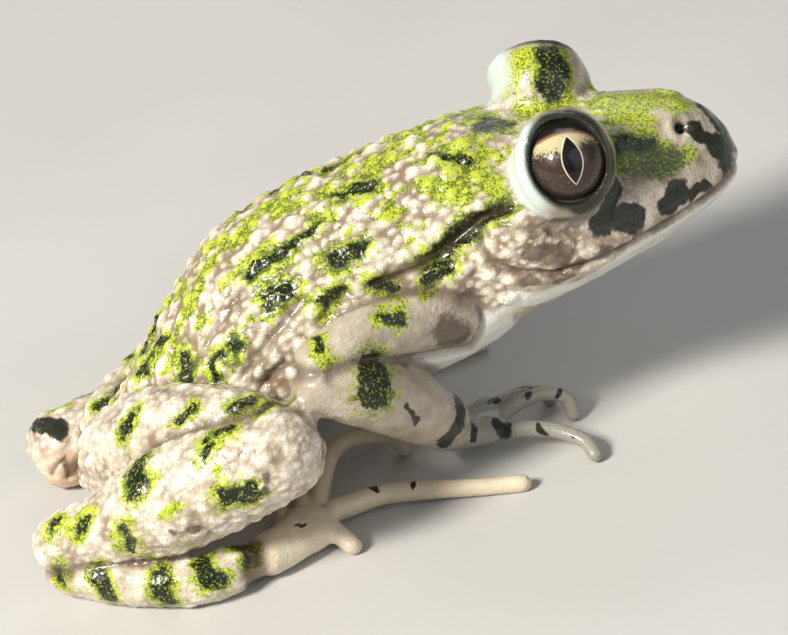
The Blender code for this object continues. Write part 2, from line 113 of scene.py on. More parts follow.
# Lower jaw and throat sections: x, top z, bottom z, half width, lean to the top
JAW = [
    (23.2, 13.0, 5.9, 5.2, -0.15),
    (25.0, 13.3, 6.6, 5.9, -0.20),
    (27.4, 13.4, 7.7, 6.2, -0.22),
    (30.0, 13.4, 8.5, 6.0, -0.22),
    (32.6, 13.4, 9.0, 5.1, -0.22),
    (35.0, 13.3, 9.5, 4.0, -0.20),
    (37.0, 13.2, 10.2, 2.95, -0.18),
    (38.4, 13.0, 11.0, 1.85, -0.10),
    (38.9, 12.7, 11.6, 1.0, 0.0),
]
JAW_SQUARE = 2.2

# Faces round the trunk and head, steps between two sections, and how far the ends are drawn out
BODY_SIDES = 72
BODY_STEPS = 5
BODY_TIP = 0.35

# The right eye: ball centre and radius, and the way it looks
EYE_CENTRE = (30.05, -4.5, 17.15)
EYE_RADIUS = 2.2
EYE_LOOK = (0.124, -0.858, 0.50)

# The opening of the lids, widening outwards: its half width near the ball's middle and far out, how much
# taller than wide it is, how far it lies behind the look axis, and the near and far ends along that axis
LID_OPENING = (1.72, 3.08, 1.19, 0.13)
LID_OPENING_ENDS = (0.4, 4.4)

# The swollen rim of the lids: least thickness radius, what is added behind and below, distance out from
# the ball's centre, gap to the opening, and how many faces it has round the eye and round itself
LID_RING = (0.24, 0.26, 0.62)
LID_THICK_TURN = math.radians(205)
LID_RING_GAP = 0.1
LID_TURNS = 64
LID_SIDES = 20

# Right-side swellings of the head, as centre and radii, and their faces round and high
SOCKET_BULGE = ((30.05, -4.0, 16.7), (2.75, 2.95, 3.2))
CHEEK_BULGE = ((27.2, -5.3, 13.7), (2.9, 1.5, 1.9))
BULGE_FACES = (48, 28)

# Limb sections: x, y, z, half width, half height, on the right side of the body
RIGHT_LIMBS = {
    "upper_arm": [
        (22.6, -4.4, 10.3, 2.0, 2.35),
        (19.6, -6.1, 11.0, 1.65, 1.85),
        (16.9, -7.3, 11.4, 1.4, 1.45),
        (14.8, -8.1, 10.9, 1.4, 1.4),
    ],
    "forearm": [
        (14.6, -8.5, 9.9, 1.55, 1.7),
        (16.6, -8.0, 8.65, 2.0, 2.0),
        (18.8, -6.5, 6.0, 2.0, 1.9),
        (20.4, -4.8, 3.4, 1.65, 1.65),
    ],
    "palm": [
        (20.2, -4.2, 2.3, 1.4, 1.1),
        (21.8, -3.6, 1.7, 1.75, 0.85),
        (23.2, -3.2, 1.5, 1.9, 0.7),
    ],
    "thigh": [
        (3.4, -2.6, 4.6, 2.6, 2.9),
        (6.2, -5.2, 6.6, 2.8, 3.1),
        (9.2, -8.0, 7.7, 2.5, 2.8),
        (11.6, -10.3, 8.0, 2.3, 2.4),
    ],
    "shank": [
        (11.6, -10.7, 7.9, 2.6, 2.7),
        (8.6, -10.2, 6.9, 2.7, 2.95),
        (5.2, -9.3, 5.5, 2.6, 2.9),
        (1.7, -8.1, 3.9, 1.9, 2.1),
        (-0.8, -7.1, 2.8, 1.8, 2.0),
    ],
    "tarsus": [
        (-0.9, -7.2, 1.75, 1.6, 1.7),
        (2.1, -9.5, 1.4, 1.4, 1.4),
        (5.8, -11.0, 1.3, 1.35, 1.35),
        (8.6, -10.4, 1.25, 1.4, 1.3),
    ],
    "sole": [
        (8.4, -10.5, 1.2, 1.35, 1.2),
        (10.6, -9.4, 1.05, 1.5, 1.05),
        (12.5, -7.9, 0.95, 2.0, 0.95),
    ],
}

# Digits of the right side: x, y, z, radius, from the root to the tip
FINGERS = {
    "finger_1": [(22.2, -1.7, 1.3, 0.45), (22.9, -0.7, 1.0, 0.42), (23.3, 0.2, 0.38, 0.44)],
    "finger_2": [
        (23.4, -2.0, 1.6, 0.45), (24.9, -1.3, 1.5, 0.42), (26.0, -0.9, 1.1, 0.4), (26.6, -0.8, 0.38, 0.44),
    ],
    "finger_3": [
        (23.6, -3.1, 1.6, 0.48), (25.0, -2.6, 1.9, 0.45), (26.5, -2.3, 1.8, 0.42),
        (27.5, -2.5, 1.2, 0.42), (27.6, -2.8, 0.4, 0.46),
    ],
    "finger_4": [
        (23.3, -4.3, 1.4, 0.5), (24.9, -4.8, 1.5, 0.47), (26.4, -5.3, 1.25, 0.44),
        (27.7, -6.3, 0.85, 0.44), (28.1, -7.2, 0.4, 0.46),
    ],
}
TOES = {
    "toe_1": [(10.8, -7.2, 0.9, 0.48), (10.8, -5.9, 0.75, 0.46), (11.1, -4.7, 0.4, 0.48)],
    "toe_2": [
        (12.0, -6.6, 1.0, 0.5), (12.3, -5.0, 1.0, 0.47), (12.7, -3.4, 0.8, 0.45), (13.3, -2.0, 0.4, 0.48),
    ],
    "toe_3": [
        (13.0, -6.3, 1.2, 0.55), (13.5, -4.7, 1.6, 0.52), (14.2, -3.3, 2.0, 0.5),
        (15.3, -2.6, 2.2, 0.48), (16.6, -2.5, 2.0, 0.48), (17.6, -2.2, 1.3, 0.48),
        (18.1, -2.1, 0.46, 0.53),
    ],
    "toe_4": [
        (13.7, -7.4, 1.1, 0.65), (16.3, -6.7, 0.9, 0.6), (19.0, -7.1, 0.7, 0.55),
        (21.6, -7.7, 0.5, 0.5), (23.9, -8.2, 0.42, 0.5),
    ],
    "toe_5": [(13.3, -8.8, 0.9, 0.6), (13.8, -9.5, 0.7, 0.55), (14.2, -10.1, 0.45, 0.54)],
}
DIGITS = FINGERS | TOES

# The left limbs that differ in pose, and how the left hand and foot are set from the mirrored right ones:
# pivot x and y, turn in degrees, new pivot x and y
LEFT_LIMBS = {
    "upper_arm": [
        (21.8, 4.4, 10.3, 2.0, 2.3),
        (19.2, 6.4, 10.1, 1.9, 2.1),
        (16.8, 7.9, 9.6, 1.7, 1.85),
        (14.8, 8.7, 9.0, 1.65, 1.7),
    ],
    "forearm": [
        (14.8, 8.7, 8.6, 1.5, 1.55),
        (15.6, 9.4, 6.9, 1.7, 1.7),
        (16.8, 10.2, 4.8, 1.7, 1.7),
        (18.1, 10.9, 3.0, 1.55, 1.55),
    ],
    "thigh": [
        (3.2, 2.4, 3.8, 2.2, 2.2),
        (6.8, 5.0, 4.7, 2.3, 2.3),
        (10.6, 8.4, 5.2, 2.1, 2.1),
    ],
    "shank": [
        (10.8, 8.8, 4.8, 2.3, 2.3),
        (8.0, 7.3, 3.6, 2.3, 2.3),
        (5.0, 5.7, 2.6, 2.05, 2.05),
        (2.0, 4.8, 2.4, 1.85, 1.85),
        (-0.6, 3.9, 2.4, 1.85, 1.85),
    ],
    "tarsus": [
        (-0.4, 3.3, 1.6, 1.65, 1.65),
        (1.4, 6.9, 1.4, 1.35, 1.35),
        (5.2, 9.0, 1.3, 1.3, 1.3),
        (8.6, 9.6, 1.25, 1.35, 1.25),
    ],
}
LEFT_HAND_SET = ((20.2, 4.4), 30.0, (18.3, 10.9))
LEFT_FOOT_SET = ((8.6, 10.4), -4.0, (8.6, 9.6))

# Faces round a limb and round a digit, steps between two sections of a limb, and how far round its end
# the rings of a limb's round cap lie, in degrees
LIMB_SIDES = 28
DIGIT_SIDES = 16
LIMB_STEPS = 8
CAP_ANGLES = (75, 60, 45, 30, 15)

# Growing the forms together: a first coarse pass that rounds the joins, then the fine skin. Each round of
# evening out takes a point by this share of the way to the middle of its neighbours.
SOFT_VOXEL = 0.22
SOFT_ROUNDS = 9
FINE_ROUNDS = 4
RELAX_SHARE = 0.5


def unit(v):
    """The same directions with length 1."""
    return v / np.maximum(np.linalg.norm(v, axis=-1, keepdims=True), TINY)


def on_side(place, sign):
    """A place of the right side for sign -1, its mirror image on the left for sign 1."""
    x, y, z = place
    return x, y * -sign, z


def spline(rows, steps):
    """The rows read from one smooth curve through them all, steps to each stretch."""
    rows = np.asarray(rows, float)
    ends = np.vstack([2 * rows[0] - rows[1], rows, 2 * rows[-1] - rows[-2]])
    found = []
    for i in range(len(rows) - 1):
        a, b, c, d = ends[i : i + 4]
        for t in np.arange(steps) / steps:
            bend = (2 * a - 5 * b + 4 * c - d) * t * t + (3 * b - a - 3 * c + d) * t**3
            found.append(0.5 * (2 * b + (c - a) * t + bend))
    found.append(rows[-1])
    return np.array(found)


def full_turn(count):
    """That many angles, spaced evenly round a circle."""
    return np.linspace(0, 2 * math.pi, count, endpoint=False)


def add_object(name, data):
    """A new object in the scene."""
    obj = bpy.data.objects.new(name, data)
    bpy.context.scene.collection.objects.link(obj)
    return obj


def bm_object(name, bm):
    """The finished bmesh as an object in the scene."""
    mesh = bpy.data.meshes.new(name)
    bm.to_mesh(mesh)
    bm.free()
    return add_object(name, mesh)


def mesh_object(name, points, faces):
    """The points and faces as an object, its faces pointing out."""
    bm = bmesh.new()
    verts = [bm.verts.new(p) for p in points]
    for face in faces:
        bm.faces.new([verts[i] for i in face])
    bmesh.ops.recalc_face_normals(bm, faces=bm.faces)
    return bm_object(name, bm)


def ring_faces(count, around, closed=False):
    """The faces between rows of points that each go once round, and from last to first row if closed."""
    faces = []
    for i in range(count if closed else count - 1):
        for j in range(around):
            k, m = (i + 1) % count, (j + 1) % around
            faces.append((i * around + j, i * around + m, k * around + m, k * around + j))
    return faces


def skinned(name, rings, tips):
    """One closed mesh over a row of rings, each end drawn to its tip."""
    count, around = rings.shape[:2]
    points = list(rings.reshape(-1, 3)) + list(tips)
    faces = ring_faces(count, around)
    first, last = len(points) - 2, len(points) - 1
    for j in range(around):
        k = (j + 1) % around
        faces.append((first, k, j))
        faces.append((last, (count - 1) * around + j, (count - 1) * around + k))
    return mesh_object(name, points, faces)


def limb_frame(rows):
    """Centres, half widths, half heights and the three directions along a limb's smooth path."""
    path = spline([r if len(r) == 5 else (*r, r[3]) for r in rows], LIMB_STEPS)
    along = unit(np.gradient(path[:, :3], axis=0))
    across = unit(np.cross(along, (0.0, 0.0, 1.0)))
    return path[:, :3], path[:, 3], path[:, 4], along, across, np.cross(across, along)


def tube(name, rows, sides):
    """A limb: oval sections along a smooth path, with round ends."""
    centre, wide, high, along, across, upward = limb_frame(rows)
    angle = full_turn(sides)

    def ring(i, reach, share):
        side = np.outer(np.cos(angle) * wide[i] * share, across[i])
        rise = np.outer(np.sin(angle) * high[i] * share, upward[i])
        return centre[i] + along[i] * reach + side + rise

    caps = np.radians(CAP_ANGLES)
    ends = [min(wide[0], high[0]), min(wide[-1], high[-1])]
    rings = [ring(0, -ends[0] * math.sin(a), math.cos(a)) for a in caps]
    rings += [ring(i, 0.0, 1.0) for i in range(len(centre))]
    rings += [ring(-1, ends[1] * math.sin(a), math.cos(a)) for a in caps[::-1]]
    tips = [centre[0] - along[0] * ends[0], centre[-1] + along[-1] * ends[1]]
    return skinned(name, np.array(rings), tips)


def sections(name, rows, square):
    """Trunk, skull or jaw: squared ovals, each from a point above to one below, symmetric about y = 0."""
    path = spline(rows, BODY_STEPS)
    above = np.stack([path[:, 0], 0 * path[:, 0], path[:, 1]], axis=1)
    below = np.stack([path[:, 2], 0 * path[:, 0], path[:, 3]], axis=1)
    angle = full_turn(BODY_SIDES)
    rise = np.sign(np.sin(angle)) * np.abs(np.sin(angle)) ** (2 / square)
    reach = np.sign(np.cos(angle)) * np.abs(np.cos(angle)) ** (2 / square)
    rings = []
    for top, foot, row in zip(above, below, path):
        ring = (top + foot) / 2 + np.outer(rise, (top - foot) / 2)
        ring[:, 1] += row[4] * reach * (1 - row[5] * rise)
        rings.append(ring)
    middle = (above + below) / 2
    tips = [
        middle[0] + unit(middle[0] - middle[1]) * BODY_TIP,
        middle[-1] + unit(middle[-1] - middle[-2]) * BODY_TIP,
    ]
    return skinned(name, np.array(rings), tips)


def upright(rows):
    """Head rows, whose sections stand upright, in the form that sections takes."""
    return [(x, top, x, foot, half, lean) for x, top, foot, half, lean in rows]


def ball(name, centre, radii, around, high):
    """A ball or egg shape."""
    bm = bmesh.new()
    bmesh.ops.create_uvsphere(bm, u_segments=around, v_segments=high, radius=1.0)
    bmesh.ops.scale(bm, vec=radii, verts=bm.verts)
    bmesh.ops.translate(bm, vec=centre, verts=bm.verts)
    return bm_object(name, bm)


def eye_matrix(sign):
    """Brings a form made about the look axis Z to its place in the head."""
    turn = Vector(on_side(EYE_LOOK, sign)).to_track_quat("Z", "Y")
    return Matrix.Translation(on_side(EYE_CENTRE, sign)) @ turn.to_matrix().to_4x4()


def lid_ring(sign):
    """The rim of skin round one eye, thickest behind and below. Turn 0 is forward and 90 up."""
    thin, more, out = LID_RING
    half, _, taller, behind = LID_OPENING
    turn = np.arange(LID_TURNS) * 2 * math.pi / LID_TURNS
    bend = np.arange(LID_SIDES) * 2 * math.pi / LID_SIDES
    turn, bend = np.meshgrid(turn, bend)
    thick = thin + more * (0.5 + 0.5 * np.cos(turn - LID_THICK_TURN))
    far = half + LID_RING_GAP + thick * (1.0 + np.cos(bend))
    forward = far * np.cos(turn) - behind
    points = np.stack([forward * -sign, far * np.sin(turn) * taller, out + thick * np.sin(bend)], axis=-1)
    faces = ring_faces(LID_SIDES, LID_TURNS, closed=True)
    obj = mesh_object("lid_ring", points.reshape(-1, 3), faces)
    obj.data.transform(eye_matrix(sign))
    return obj


def eye_hollow(sign):
    """What is taken out of the head for one eye: the opening of the lids, as a cone that widens outwards."""
    near, far, taller, behind = LID_OPENING
    low, high = LID_OPENING_ENDS
    bm = bmesh.new()
    bmesh.ops.create_cone(bm, cap_ends=True, segments=LID_TURNS, radius1=near, radius2=far, depth=high - low)
    bmesh.ops.scale(bm, vec=(1.0, taller, 1.0), verts=bm.verts)
    bmesh.ops.translate(bm, vec=(behind * sign, 0, (low + high) / 2), verts=bm.verts)
    bmesh.ops.transform(bm, matrix=eye_matrix(sign), verts=bm.verts)
    return bm_object("eye_hollow", bm)


def set_left(rows, pivot, turn, goal):
    """Right-side rows mirrored to the left, turned about the pivot and moved with it."""
    c, s = math.cos(math.radians(turn)), math.sin(math.radians(turn))
    found = []
    for x, y, *rest in rows:
        dx, dy = x - pivot[0], -y - pivot[1]
        found.append((goal[0] + c * dx - s * dy, goal[1] + s * dx + c * dy, *rest))
    return found


def limb_rows(side):
    """The rows of every limb piece and digit on one side, by name."""
    if side == "right":
        return RIGHT_LIMBS | DIGITS
    moved = {"palm": RIGHT_LIMBS["palm"], "sole": RIGHT_LIMBS["sole"]} | DIGITS
    left = {}
    for name, rows in moved.items():
        foot = name.startswith(("sole", "toe"))
        left[name] = set_left(rows, *(LEFT_FOOT_SET if foot else LEFT_HAND_SET))
    return LEFT_LIMBS | left


def apply_modifiers(obj):
    """Makes what an object's modifiers give its own mesh."""
    graph = bpy.context.evaluated_depsgraph_get()
    mesh = bpy.data.meshes.new_from_object(obj.evaluated_get(graph))
    old = obj.data
    obj.modifiers.clear()
    obj.data = mesh
    bpy.data.meshes.remove(old)
    return obj


def carve(obj, cutter):
    """Takes the cutter's form out of an object."""
    step = obj.modifiers.new("carve", "BOOLEAN")
    step.operation = "DIFFERENCE"
    step.solver = "MANIFOLD"
    step.object = cutter
    bpy.context.view_layer.update()
    apply_modifiers(obj)
    bpy.data.objects.remove(cutter)


def grown_together(name, pieces, voxel):
    """Overlapping forms as one closed surface with faces of about that size."""
    bm = bmesh.new()
    for piece in pieces:
        bm.from_mesh(piece.data)
        bpy.data.objects.remove(piece)
    obj = bm_object(name, bm)
    step = obj.modifiers.new("remesh", "REMESH")
    step.mode = "VOXEL"
    step.voxel_size = voxel
    return apply_modifiers(obj)


def read_rows(items, key, size, kind=float):
    """One value of every item, as rows of that size."""
    rows = np.empty(len(items) * size, kind)
    items.foreach_get(key, rows)
    return rows.reshape(-1, size)


def read_points(mesh):
    return read_rows(mesh.vertices, "co", 3)


def write_points(mesh, points):
    mesh.vertices.foreach_set("co", points.ravel())
    mesh.update()


def read_normals(mesh):
    return read_rows(mesh.vertex_normals, "vector", 3, np.float32).astype(float)


def read_edges(mesh):
    return read_rows(mesh.edges, "vertices", 2, np.int32)


def relax(values, edges, rounds, share=RELAX_SHARE):
    """Draws each vertex's values towards the mean of its neighbours', by that share, for some rounds."""
    values = np.array(values, float).reshape(len(values), -1)
    a, b = edges[:, 0], edges[:, 1]
    count = np.bincount(edges.ravel(), minlength=len(values))[:, None]
    for _ in range(rounds):
        total = np.empty_like(values)
        for k in range(values.shape[1]):
            column = values[:, k]
            total[:, k] = np.bincount(a, column[b], len(values)) + np.bincount(b, column[a], len(values))
        values += share * (total / count - values)
    return values.squeeze()


def soften(obj, rounds):
    """Evens out an object's surface."""
    write_points(obj.data, relax(read_points(obj.data), read_edges(obj.data), rounds))
    return obj


def skin_base(voxel):
    """Trunk, head and limbs grown into one smooth body with eye hollows, then the digits grown on."""
    forms = [
        sections("trunk_form", TRUNK, TRUNK_SQUARE),
        sections("skull_form", upright(SKULL), SKULL_SQUARE),
        sections("jaw_form", upright(JAW), JAW_SQUARE),
    ]
    digits = []
    for side, sign in SIDES.items():
        for centre, radii in (SOCKET_BULGE, CHEEK_BULGE):
            forms.append(ball("bulge", on_side(centre, sign), radii, *BULGE_FACES))
        forms.append(lid_ring(sign))
        for piece, rows in limb_rows(side).items():
            if piece in DIGITS:
                digits.append(tube(piece, rows, DIGIT_SIDES))
            else:
                forms.append(tube(piece, rows, LIMB_SIDES))
    body = soften(grown_together("body", forms, SOFT_VOXEL), SOFT_ROUNDS)
    for sign in SIDES.values():
        carve(body, eye_hollow(sign))
    return soften(grown_together("frog_skin", [body, *digits], voxel), FINE_ROUNDS)


# Swellings and folds of the head and trunk, on the right side: how wide the fold is, how far it stands
# out (or, below zero, how deep it is), and the points of its line
FOLDS = {
    "ear_ridge": (0.55, 0.3, [
        (26.7, -4.4, 16.5), (25.0, -4.6, 15.9), (23.3, -4.9, 15.2), (21.8, -5.2, 14.6), (20.2, -5.3, 14.2),
        (18.8, -5.5, 14.0),
    ]),
    "ear_groove": (0.34, -0.42, [
        (26.6, -5.1, 15.6), (25.0, -5.1, 15.4), (23.3, -5.3, 14.6), (21.6, -5.6, 13.7), (18.9, -5.7, 13.5),
    ]),
    "snout_edge": (0.42, 0.14, [
        (32.6, -3.0, 16.8), (34.0, -2.4, 16.7), (35.4, -2.0, 16.4), (36.6, -1.5, 16.1),
    ]),
    "snout_hollow": (0.9, -0.22, [(33.4, -4.2, 15.3), (34.6, -3.7, 15.1), (35.8, -3.2, 14.9)]),
    "under_lid": (0.26, -0.24, [
        (25.9, -5.8, 15.2), (27.0, -6.3, 14.9), (28.4, -6.6, 14.8), (30.2, -6.5, 14.8), (32.0, -5.5, 15.1),
    ]),
    "lid_fold": (0.2, -0.1, [
        (27.2, -5.2, 16.0), (28.2, -6.3, 15.7), (29.4, -6.8, 15.5), (30.8, -6.6, 15.5), (32.1, -5.6, 16.3),
    ]),
    "cheek_groove": (0.28, -0.26, [
        (24.6, -5.7, 14.7), (24.9, -6.3, 13.4), (26.4, -6.7, 12.5), (28.4, -6.9, 12.0),
    ]),
    "flank_high": (0.3, -0.16, [
        (11.8, -3.7, 13.8), (10.4, -4.0, 12.6), (9.1, -4.1, 11.2), (7.8, -4.0, 9.6),
    ]),
    "flank_mid": (0.3, -0.2, [
        (14.9, -5.3, 13.4), (13.4, -5.7, 12.3), (12.1, -5.8, 11.2), (10.6, -5.6, 9.6),
    ]),
    "flank_low": (0.3, -0.24, [
        (17.2, -5.8, 13.4), (15.6, -6.4, 12.6), (14.0, -6.9, 11.6), (12.6, -6.5, 10.2), (11.4, -6.0, 8.9),
    ]),
    "flank_roll": (0.4, 0.12, [
        (16.4, -5.6, 13.6), (14.8, -6.0, 12.7), (13.2, -6.2, 11.5), (11.6, -5.9, 9.8),
    ]),
    "throat_fold": (0.4, -0.18, [(24.0, -5.4, 11.2), (25.6, -5.0, 9.2), (26.2, -3.6, 8.0)]),
    "chest_fold": (0.35, -0.2, [(22.9, -5.9, 11.4), (24.0, -5.6, 10.2), (24.2, -4.8, 8.6)]),
}

# A hollow of this depth or more gets the full painted shade of a crease
FULL_HOLLOW = 0.3

# The large wart on the shoulder: its place, radius and height
SHOULDER_WART = ((22.9, -6.1, 12.2), 0.55, 0.36)

# The mouth seen from the side, as x and z, and how far ahead of its corner it fades in. It is looked for
# above a level and within a band about the line.
MOUTH_LINE = [(24.3, 13.7), (25.3, 12.7), (27.0, 12.15), (31.0, 12.1), (42.0, 12.25)]
MOUTH_FADE = 1.0
MOUTH_LEVEL = 9.0
MOUTH_BAND = 2.5
MOUTH_WIDTH = 0.15
MOUTH_DEPTH = 0.30

# The lips: how far they swell, the heights of the upper and lower one above the mouth line, and their width
LIP_SWELL = 0.09
LIP_HEIGHTS = (0.42, -0.40)
LIP_WIDTH = 0.25

# The nostril: its place, radius and depth. Its rim: height, and distance and width as shares of the radius.
NOSTRIL = ((36.62, -1.88, 15.95), 0.34, 0.62)
NOSTRIL_RIM = (0.12, 1.9, 0.7)
# How far out the painted shade inside the nostril reaches, as a share of its radius
NOSTRIL_SHADE_REACH = 1.1

# Pieces that press on each other, with a crease between them, and the join that is left smooth. A crease
# has a width and a depth. It ends this far outside both pieces, and comes in from this far inside them.
PRESSED = [
    ("thigh", "shank"),
    ("shank", "tarsus"),
    ("upper_arm", "forearm"),
    ("tarsus", "sole"),
    ("thigh", "body"),
    ("shank", "body"),
    ("upper_arm", "body"),
    ("forearm", "body"),
]
SMOOTH_JOIN = ("shank", "tarsus", "left")
CREASE_WIDTH = 0.30
CREASE_DEPTH = 0.26
CREASE_REACH = 0.7
CREASE_START = (-0.25, -0.05)

# Marks of the head and trunk by kind, on the right side: the ends of the mark and its half width. Hearts
# are near-black inside a lime border, spots have no border.
MARKS = {
    "heart": [
        ((17.9, -1.4, 16.7), (19.6, -1.7, 17.1), 0.42),
        ((12.8, -3.2, 14.5), (14.6, -3.2, 15.2), 0.44),
        ((14.6, -3.2, 15.2), (16.3, -2.8, 15.9), 0.36),
        ((13.0, -4.8, 13.3), (14.2, -4.7, 13.9), 0.50),
        ((17.1, -4.7, 14.7), (18.7, -4.6, 15.1), 0.46),
        ((23.3, -1.7, 17.7), (25.2, -2.6, 17.4), 0.27),
        ((26.2, -0.5, 17.9), (27.4, -0.3, 17.7), 0.38),
        ((15.5, -5.8, 12.8), (16.9, -5.7, 13.4), 0.30),
        ((9.4, -5.1, 9.9), (10.9, -5.1, 11.6), 0.40),
        ((7.6, -4.4, 9.0), (8.1, -3.5, 10.4), 0.38),
        ((18.6, -5.8, 13.4), (19.3, -6.0, 13.0), 0.36),
        ((21.3, -5.9, 12.9), (22.6, -5.7, 13.3), 0.42),
        ((26.3, -5.2, 15.6), (25.0, -5.2, 15.4), 0.45),
        ((25.0, -5.2, 15.4), (23.3, -5.2, 14.5), 0.62),
        ((23.3, -5.2, 14.5), (21.6, -5.6, 13.6), 0.50),
        ((5.4, -0.6, 8.6), (6.8, -1.2, 10.4), 0.40),
        ((33.1, -2.8, 16.4), (35.0, -2.7, 16.0), 0.48),
    ],
    "spot": [
        ((37.4, -1.7, 15.4), (38.2, -1.7, 14.5), 0.60),
        ((38.2, -1.8, 14.5), (38.6, -1.8, 13.2), 0.80),
        ((38.6, 0.0, 15.2), (39.0, -0.6, 13.7), 1.00),
        ((34.6, -4.6, 13.1), (36.0, -3.9, 13.5), 0.64),
        ((36.4, -3.8, 12.8), (37.2, -3.1, 12.7), 0.36),
        ((31.0, -5.9, 13.8), (32.9, -5.4, 13.4), 0.82),
        ((31.7, -5.6, 14.3), (32.4, -5.0, 15.2), 0.55),
        ((38.8, -1.2, 13.6), (38.5, -1.9, 12.9), 0.60),
        ((21.4, -5.6, 4.6), (21.0, -6.5, 3.8), 0.60),
        ((21.0, -6.5, 3.8), (20.6, -6.6, 2.8), 0.55),
    ],
    "brown": [
        ((27.4, -6.8, 13.3), (28.9, -6.8, 13.1), 0.75),
        ((27.6, -6.7, 14.5), (28.3, -6.6, 14.6), 0.42),
        # The chest's mark: brown skin darkened as painted shade under the throat
        ((21.7, -6.9, 10.4), (22.4, -6.2, 9.1), 0.95),
        ((29.1, -6.9, 12.3), (29.5, -6.9, 12.3), 0.42),
        ((30.5, -6.6, 12.4), (30.9, -6.5, 12.4), 0.42),
        ((28.0, -6.9, 11.7), (28.6, -6.9, 11.6), 0.38),
        ((26.4, -6.6, 11.7), (26.9, -6.6, 11.6), 0.38),
        ((32.6, -5.7, 12.5), (33.1, -5.6, 12.4), 0.38),
    ],
    "lime": [
        ((32.8, 0.0, 17.2), (36.6, -0.2, 16.6), 1.15),
        ((33.0, -1.5, 17.0), (35.2, -1.4, 16.8), 0.7),
        ((33.3, -3.1, 16.1), (35.5, -2.8, 15.7), 0.65),
        ((35.6, -3.1, 15.3), (36.7, -2.8, 14.6), 0.65),
        ((25.1, -3.0, 17.2), (26.1, -4.0, 16.6), 0.8),
        ((22.6, -3.2, 17.0), (24.4, -4.2, 16.2), 0.8),
        ((28.6, -1.2, 17.8), (31.4, -0.8, 17.4), 0.6),
        ((19.6, -3.4, 16.4), (21.8, -4.2, 15.6), 0.5),
        ((14.6, -0.6, 16.0), (17.6, -0.5, 16.8), 0.5),
        ((20.0, -0.5, 17.4), (23.0, -0.6, 17.9), 0.55),
        ((9.2, -0.8, 13.0), (12.4, -0.7, 15.2), 0.5),
        ((6.2, -1.6, 9.6), (8.8, -2.0, 12.2), 0.5),
        ((3.0, -1.4, 6.0), (5.0, -1.8, 8.0), 0.5),
        ((10.8, -2.6, 13.8), (12.6, -2.2, 14.9), 0.35),
        ((30.0, -3.2, 19.6), (29.0, -3.2, 19.2), 0.8),
    ],
    "green": [
        ((32.9, -3.6, 15.9), (35.8, -3.2, 14.9), 0.95),
        ((31.6, -5.6, 14.0), (32.2, -5.1, 14.6), 0.3),
    ],
}

# Marks that only the left side has, as on the eye's swelling and above the heel
LEFT_MARKS = {
    "heart": [((31.0, 2.8, 19.3), (30.5, 1.6, 18.1), 0.76), ((2.4, 1.6, 5.6), (3.8, 1.5, 6.5), 0.5)],
    "spot": [((-1.6, 3.9, 3.8), (-0.5, 3.0, 3.8), 0.70)],
    "lime": [((28.4, 2.5, 18.8), (29.9, 2.9, 19.7), 0.9)],
}

# Marks of the limbs by kind: piece, station from root to tip and turn round the limb in degrees (on the
# right, 0 is the outer side and 90 the top) of either end, and half width
LIMB_MARKS = {
    "heart": [
        ("thigh", 0.83, 71, 0.88, 95, 0.40),
        ("thigh", 1.0, 92, 1.0, 124, 0.40),
        ("thigh", 0.30, 36, 0.34, 60, 0.34),
        ("thigh", 0.60, 46, 0.64, 66, 0.34),
        ("shank", 0.20, 98, 0.09, 104, 0.30),
        ("shank", 0.22, 123, 0.19, 114, 0.27),
        ("shank", 0.47, 88, 0.50, 124, 0.64),
        ("shank", 0.22, 174, 0.12, 182, 0.54),
        ("shank", 0.59, 162, 0.62, 186, 0.42),
        ("shank", 0.81, 138, 0.75, 125, 0.30),
        ("shank", 0.94, 111, 0.91, 106, 0.24),
        ("tarsus", 0.06, 60, 0.06, 0, 0.32),
        ("tarsus", 0.27, 44, 0.31, -16, 0.48),
        ("tarsus", 0.50, 60, 0.54, -6, 0.54),
        ("tarsus", 0.71, 86, 0.74, 18, 0.46),
        ("sole", 0.03, 90, 0.0, 41, 0.42),
        ("upper_arm", 0.48, 131, 0.42, 148, 0.38),
        ("upper_arm", 0.92, 84, 0.94, 112, 0.26),
        ("forearm", 0.28, 54, 0.31, 18, 1.05),
    ],
    "spot": [
        ("sole", 0.62, 83, 0.75, 73, 0.16),
        ("forearm", 0.50, -3, 0.58, -20, 0.27),
        ("forearm", 0.97, 80, 0.96, 10, 0.62),
        ("forearm", 0.96, 10, 0.93, -30, 0.58),
        ("finger_2", 0.04, 100, 0.02, 50, 0.30),
        ("finger_2", 0.42, 110, 0.44, 60, 0.26),
        ("finger_3", 0.34, 80, 0.34, 30, 0.34),
        ("finger_3", 0.62, 80, 0.62, 40, 0.22),
        ("palm", 1.0, 40, 1.0, 20, 0.42),
        ("palm", 0.4, 60, 0.4, 20, 0.3),
        ("finger_4", 0.38, 60, 0.41, 20, 0.34),
        ("finger_4", 0.66, 70, 0.66, 20, 0.20),
        ("toe_4", 0.22, 90, 0.22, 40, 0.20),
        ("toe_4", 0.42, 100, 0.42, 50, 0.18),
        ("toe_2", 0.40, 90, 0.40, 40, 0.24),
    ],
    "brown": [
        ("shank", 0.47, 190, 0.38, 200, 0.26),
        ("shank", 0.02, 170, 0.06, 184, 0.36),
    ],
    "lime": [
        ("shank", 0.19, 138, 0.19, 153, 0.32),
        ("shank", 0.34, 134, 0.34, 141, 0.26),
        ("shank", 0.44, 171, 0.38, 163, 0.40),
        ("shank", 0.72, 112, 0.84, 128, 0.62),
        ("shank", 0.92, 100, 0.86, 96, 0.44),
        ("thigh", 0.84, 70, 0.94, 84, 0.62),
        ("upper_arm", 0.90, 60, 0.96, 140, 0.74),
    ],
    "green": [],
}

# The lime border of a heart: its width, and the depth and lump size of its unevenness
HALO = 0.46
HALO_UNEVEN = 0.35
HALO_LUMP = 0.8

